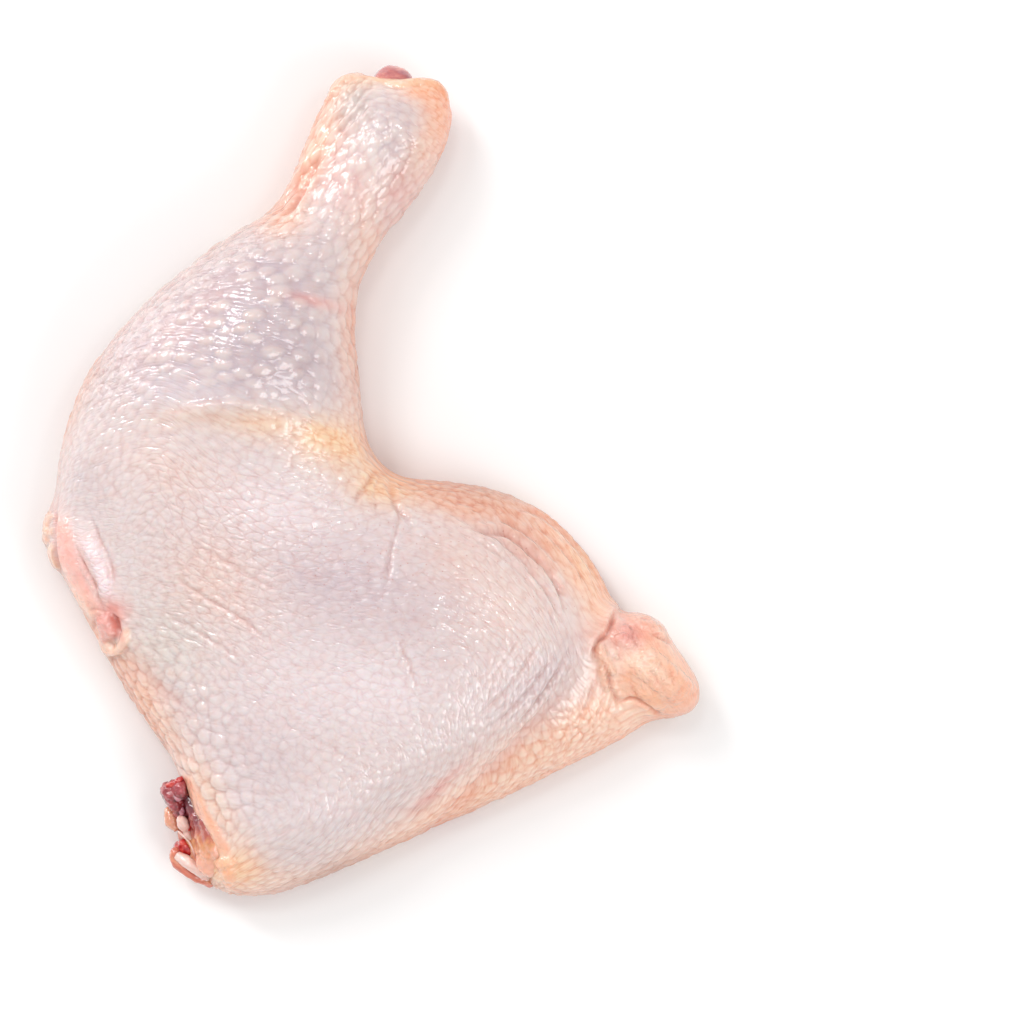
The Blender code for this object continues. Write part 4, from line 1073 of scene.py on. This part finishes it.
# the meat between the bones and the skin's edge; where a height is left out, it lies just under the skin
cutMeat = dict(voxel=0.4, easing=4, uneven=(2, 0.3), seed=6, parts=[
    ([(-46, -78, 12.2), (-44.5, -81, 12.6), (-43, -84.5, 12.2), (-41.2, -88.2, 11.4), (-39.5, -92, 10.4),
     (-38.8, -95, 9.4)], [1.3, 2.2, 2.6, 2.8, 2.9, 2.2]),
    ([(-45.5, -84, 9.6), (-44, -88, 9.6), (-42.5, -91.5, 9.4), (-41, -95, 8.6)], [1.8, 3, 3.4, 2.8]),
    ((-43, -90.5, 6.6), (10, 4.6, 5.6), -62),
    ((-42.8, -94, 9.6), (3.6, 2.4, 2.2), -45),
    ([(-42.2, -83.4, None), (-40.6, -86.8, None), (-39, -90.4, None), (-38.6, -93.4, None)], [1.3, 2, 2.2, 1.4]),
    ([(-42.6, -85, 15), (-41.6, -88.4, 15.7), (-40.6, -91.8, 15.8), (-39.8, -94.6, 14.8), (-39.4, -97, 13.6)],
     [1.4, 2.1, 2.3, 2.2, 1.6]),
    ([(-43.4, -82.4, 14.4), (-42.2, -87.4, 14.6), (-41.2, -91.6, 14.4), (-40.8, -95.4, 13)], [1.4, 2.2, 2.4, 2]),
    ((-41.4, -95.2, 13.9), (3.6, 2.2, 2.3), -52),
])
finished(grown("cutMeat", cutMeat), darkMeat, "dark_meat", "cut_meat")

# drops of blood between them
bloodSpot = dict(voxel=0.22, easing=1, uneven=(1.5, 0.12), seed=7, parts=[
    ((-46.4, -91.2, 10.2), (2.2, 1.3, 1.3), -42),
    ((-47.4, -89.9, 9.6), (1.3, 1.3, 2.2), 40),
    ((-45.8, -86.1, 12.2), (0.55, 0.85, 0.6), -20),
    ((-47.5, -91.5, 7.2), (2.6, 2.2, 3.6), -30),
])
finished(grown("bloodSpot", bloodSpot), freshBlood, "marrow")

# fat to the left of the bone
fatLobe = dict(voxel=0.35, easing=2, uneven=(2, 0.2), seed=8, parts=[
    ([(-51.1, -81, 8), (-50.8, -82.8, 8.6), (-50.1, -84.8, 8.8), (-48.8, -86.6, 8.6)], [1, 1.7, 1.8, 1]),
])
finished(grown("fatLobe", fatLobe), peachFilm, "raw_skin")

# a thin white strand over the meat
membrane = dict(voxel=0.15, easing=1, uneven=(1.5, 0.05), seed=9, parts=[
    ([(-48.4, -87, 11.2), (-46.9, -88.2, 12.2), (-45.4, -90, 12), (-44.6, -92, 12.2), (-44, -93.8, 11.6)],
     [0.28, 0.3, 0.3, 0.3, 0.22]),
])
finished(grown("membrane", membrane), wetBone, "cartilage")
print("cut and joint pieces made")

# Camera, straight above, far enough to be nearly free of perspective
view = dict(
    aim=(35.0, -7.0),      # the photograph's middle, on the plan
    level=12.0,            # the height at which the width below is measured
    width=256.0,
    distance=1500.0,
)
camera = bpy.data.objects.new("camera", bpy.data.cameras.new("camera"))
bpy.context.scene.collection.objects.link(camera)
camera.data.lens = camera.data.sensor_width * view["distance"] / view["width"]
spot = np.array([*view["aim"], view["level"] + view["distance"]]) + hollowInFrame
camera.location = Vector(spot * mm)
camera.data.clip_end = 10.0
bpy.context.scene.camera = camera

bpy.ops.mesh.primitive_plane_add(size=6.0, location=(0, 0, -0.0002))
floor = bpy.context.object
floor.name = "floor"
paper, _, paperShader = newMaterial("white paper")    # matt and uncoated, for a soft even ground
setInputs(paperShader, {"Base Color": (0.95, 0.95, 0.95, 1), "Roughness": 0.9})
floor.data.materials.append(paper)

lights = {
    # name: direction over the ground in degrees, height in degrees, distance, width and height in metres, watts
    "softbox": (128, 45, 2.4, 0.6, 0.6, 12.0),
    "softbox low": (142, 20, 2.4, 0.35, 0.6, 6.5),
    "strip light": (145, 9, 2.5, 0.2, 0.9, 8.0),       # for the shine along the near edge
    "softbox high": (105, 70, 2.4, 0.4, 0.4, 4.0),
    "softbox right": (-35, 42, 2.5, 1.4, 1.0, 15.0),
    "glint lamp": (135, 60, 2.4, 0.24, 0.24, 2.4),
    "glint lamp right": (30, 62, 2.4, 0.24, 0.24, 2.4),
}
for name, (around, above, distance, width, height, power) in lights.items():
    lamp = bpy.data.objects.new(name, bpy.data.lights.new(name, "AREA"))
    lamp.data.shape = "RECTANGLE"
    lamp.data.size, lamp.data.size_y = width, height
    lamp.data.energy = power
    around, above = math.radians(around), math.radians(above)
    way = Vector((math.cos(around) * math.cos(above), math.sin(around) * math.cos(above), math.sin(above)))
    lamp.location = way * distance
    lamp.rotation_mode = "QUATERNION"
    lamp.rotation_quaternion = way.to_track_quat("Z", "Y")
    bpy.context.scene.collection.objects.link(lamp)

# a white room, dimmer towards the ground, so that the rims of the skin don't turn milky
world = bpy.data.worlds.new("studio")
bpy.context.scene.world = world
world.use_nodes = True
tree = world.node_tree
upwards = addNode(tree, "SeparateXYZ", {0: addNode(tree, "TexCoord", {}, "Generated")}, "Z")
setInputs(tree.nodes["Background"], {
    "Color": (1, 1, 1, 1),
    "Strength": addNode(tree, "MapRange", {"Value": upwards, "To Min": 0.50, "To Max": 0.78}),
})
bpy.context.scene.view_settings.view_transform = "Standard"
print("camera, floor and lights placed")
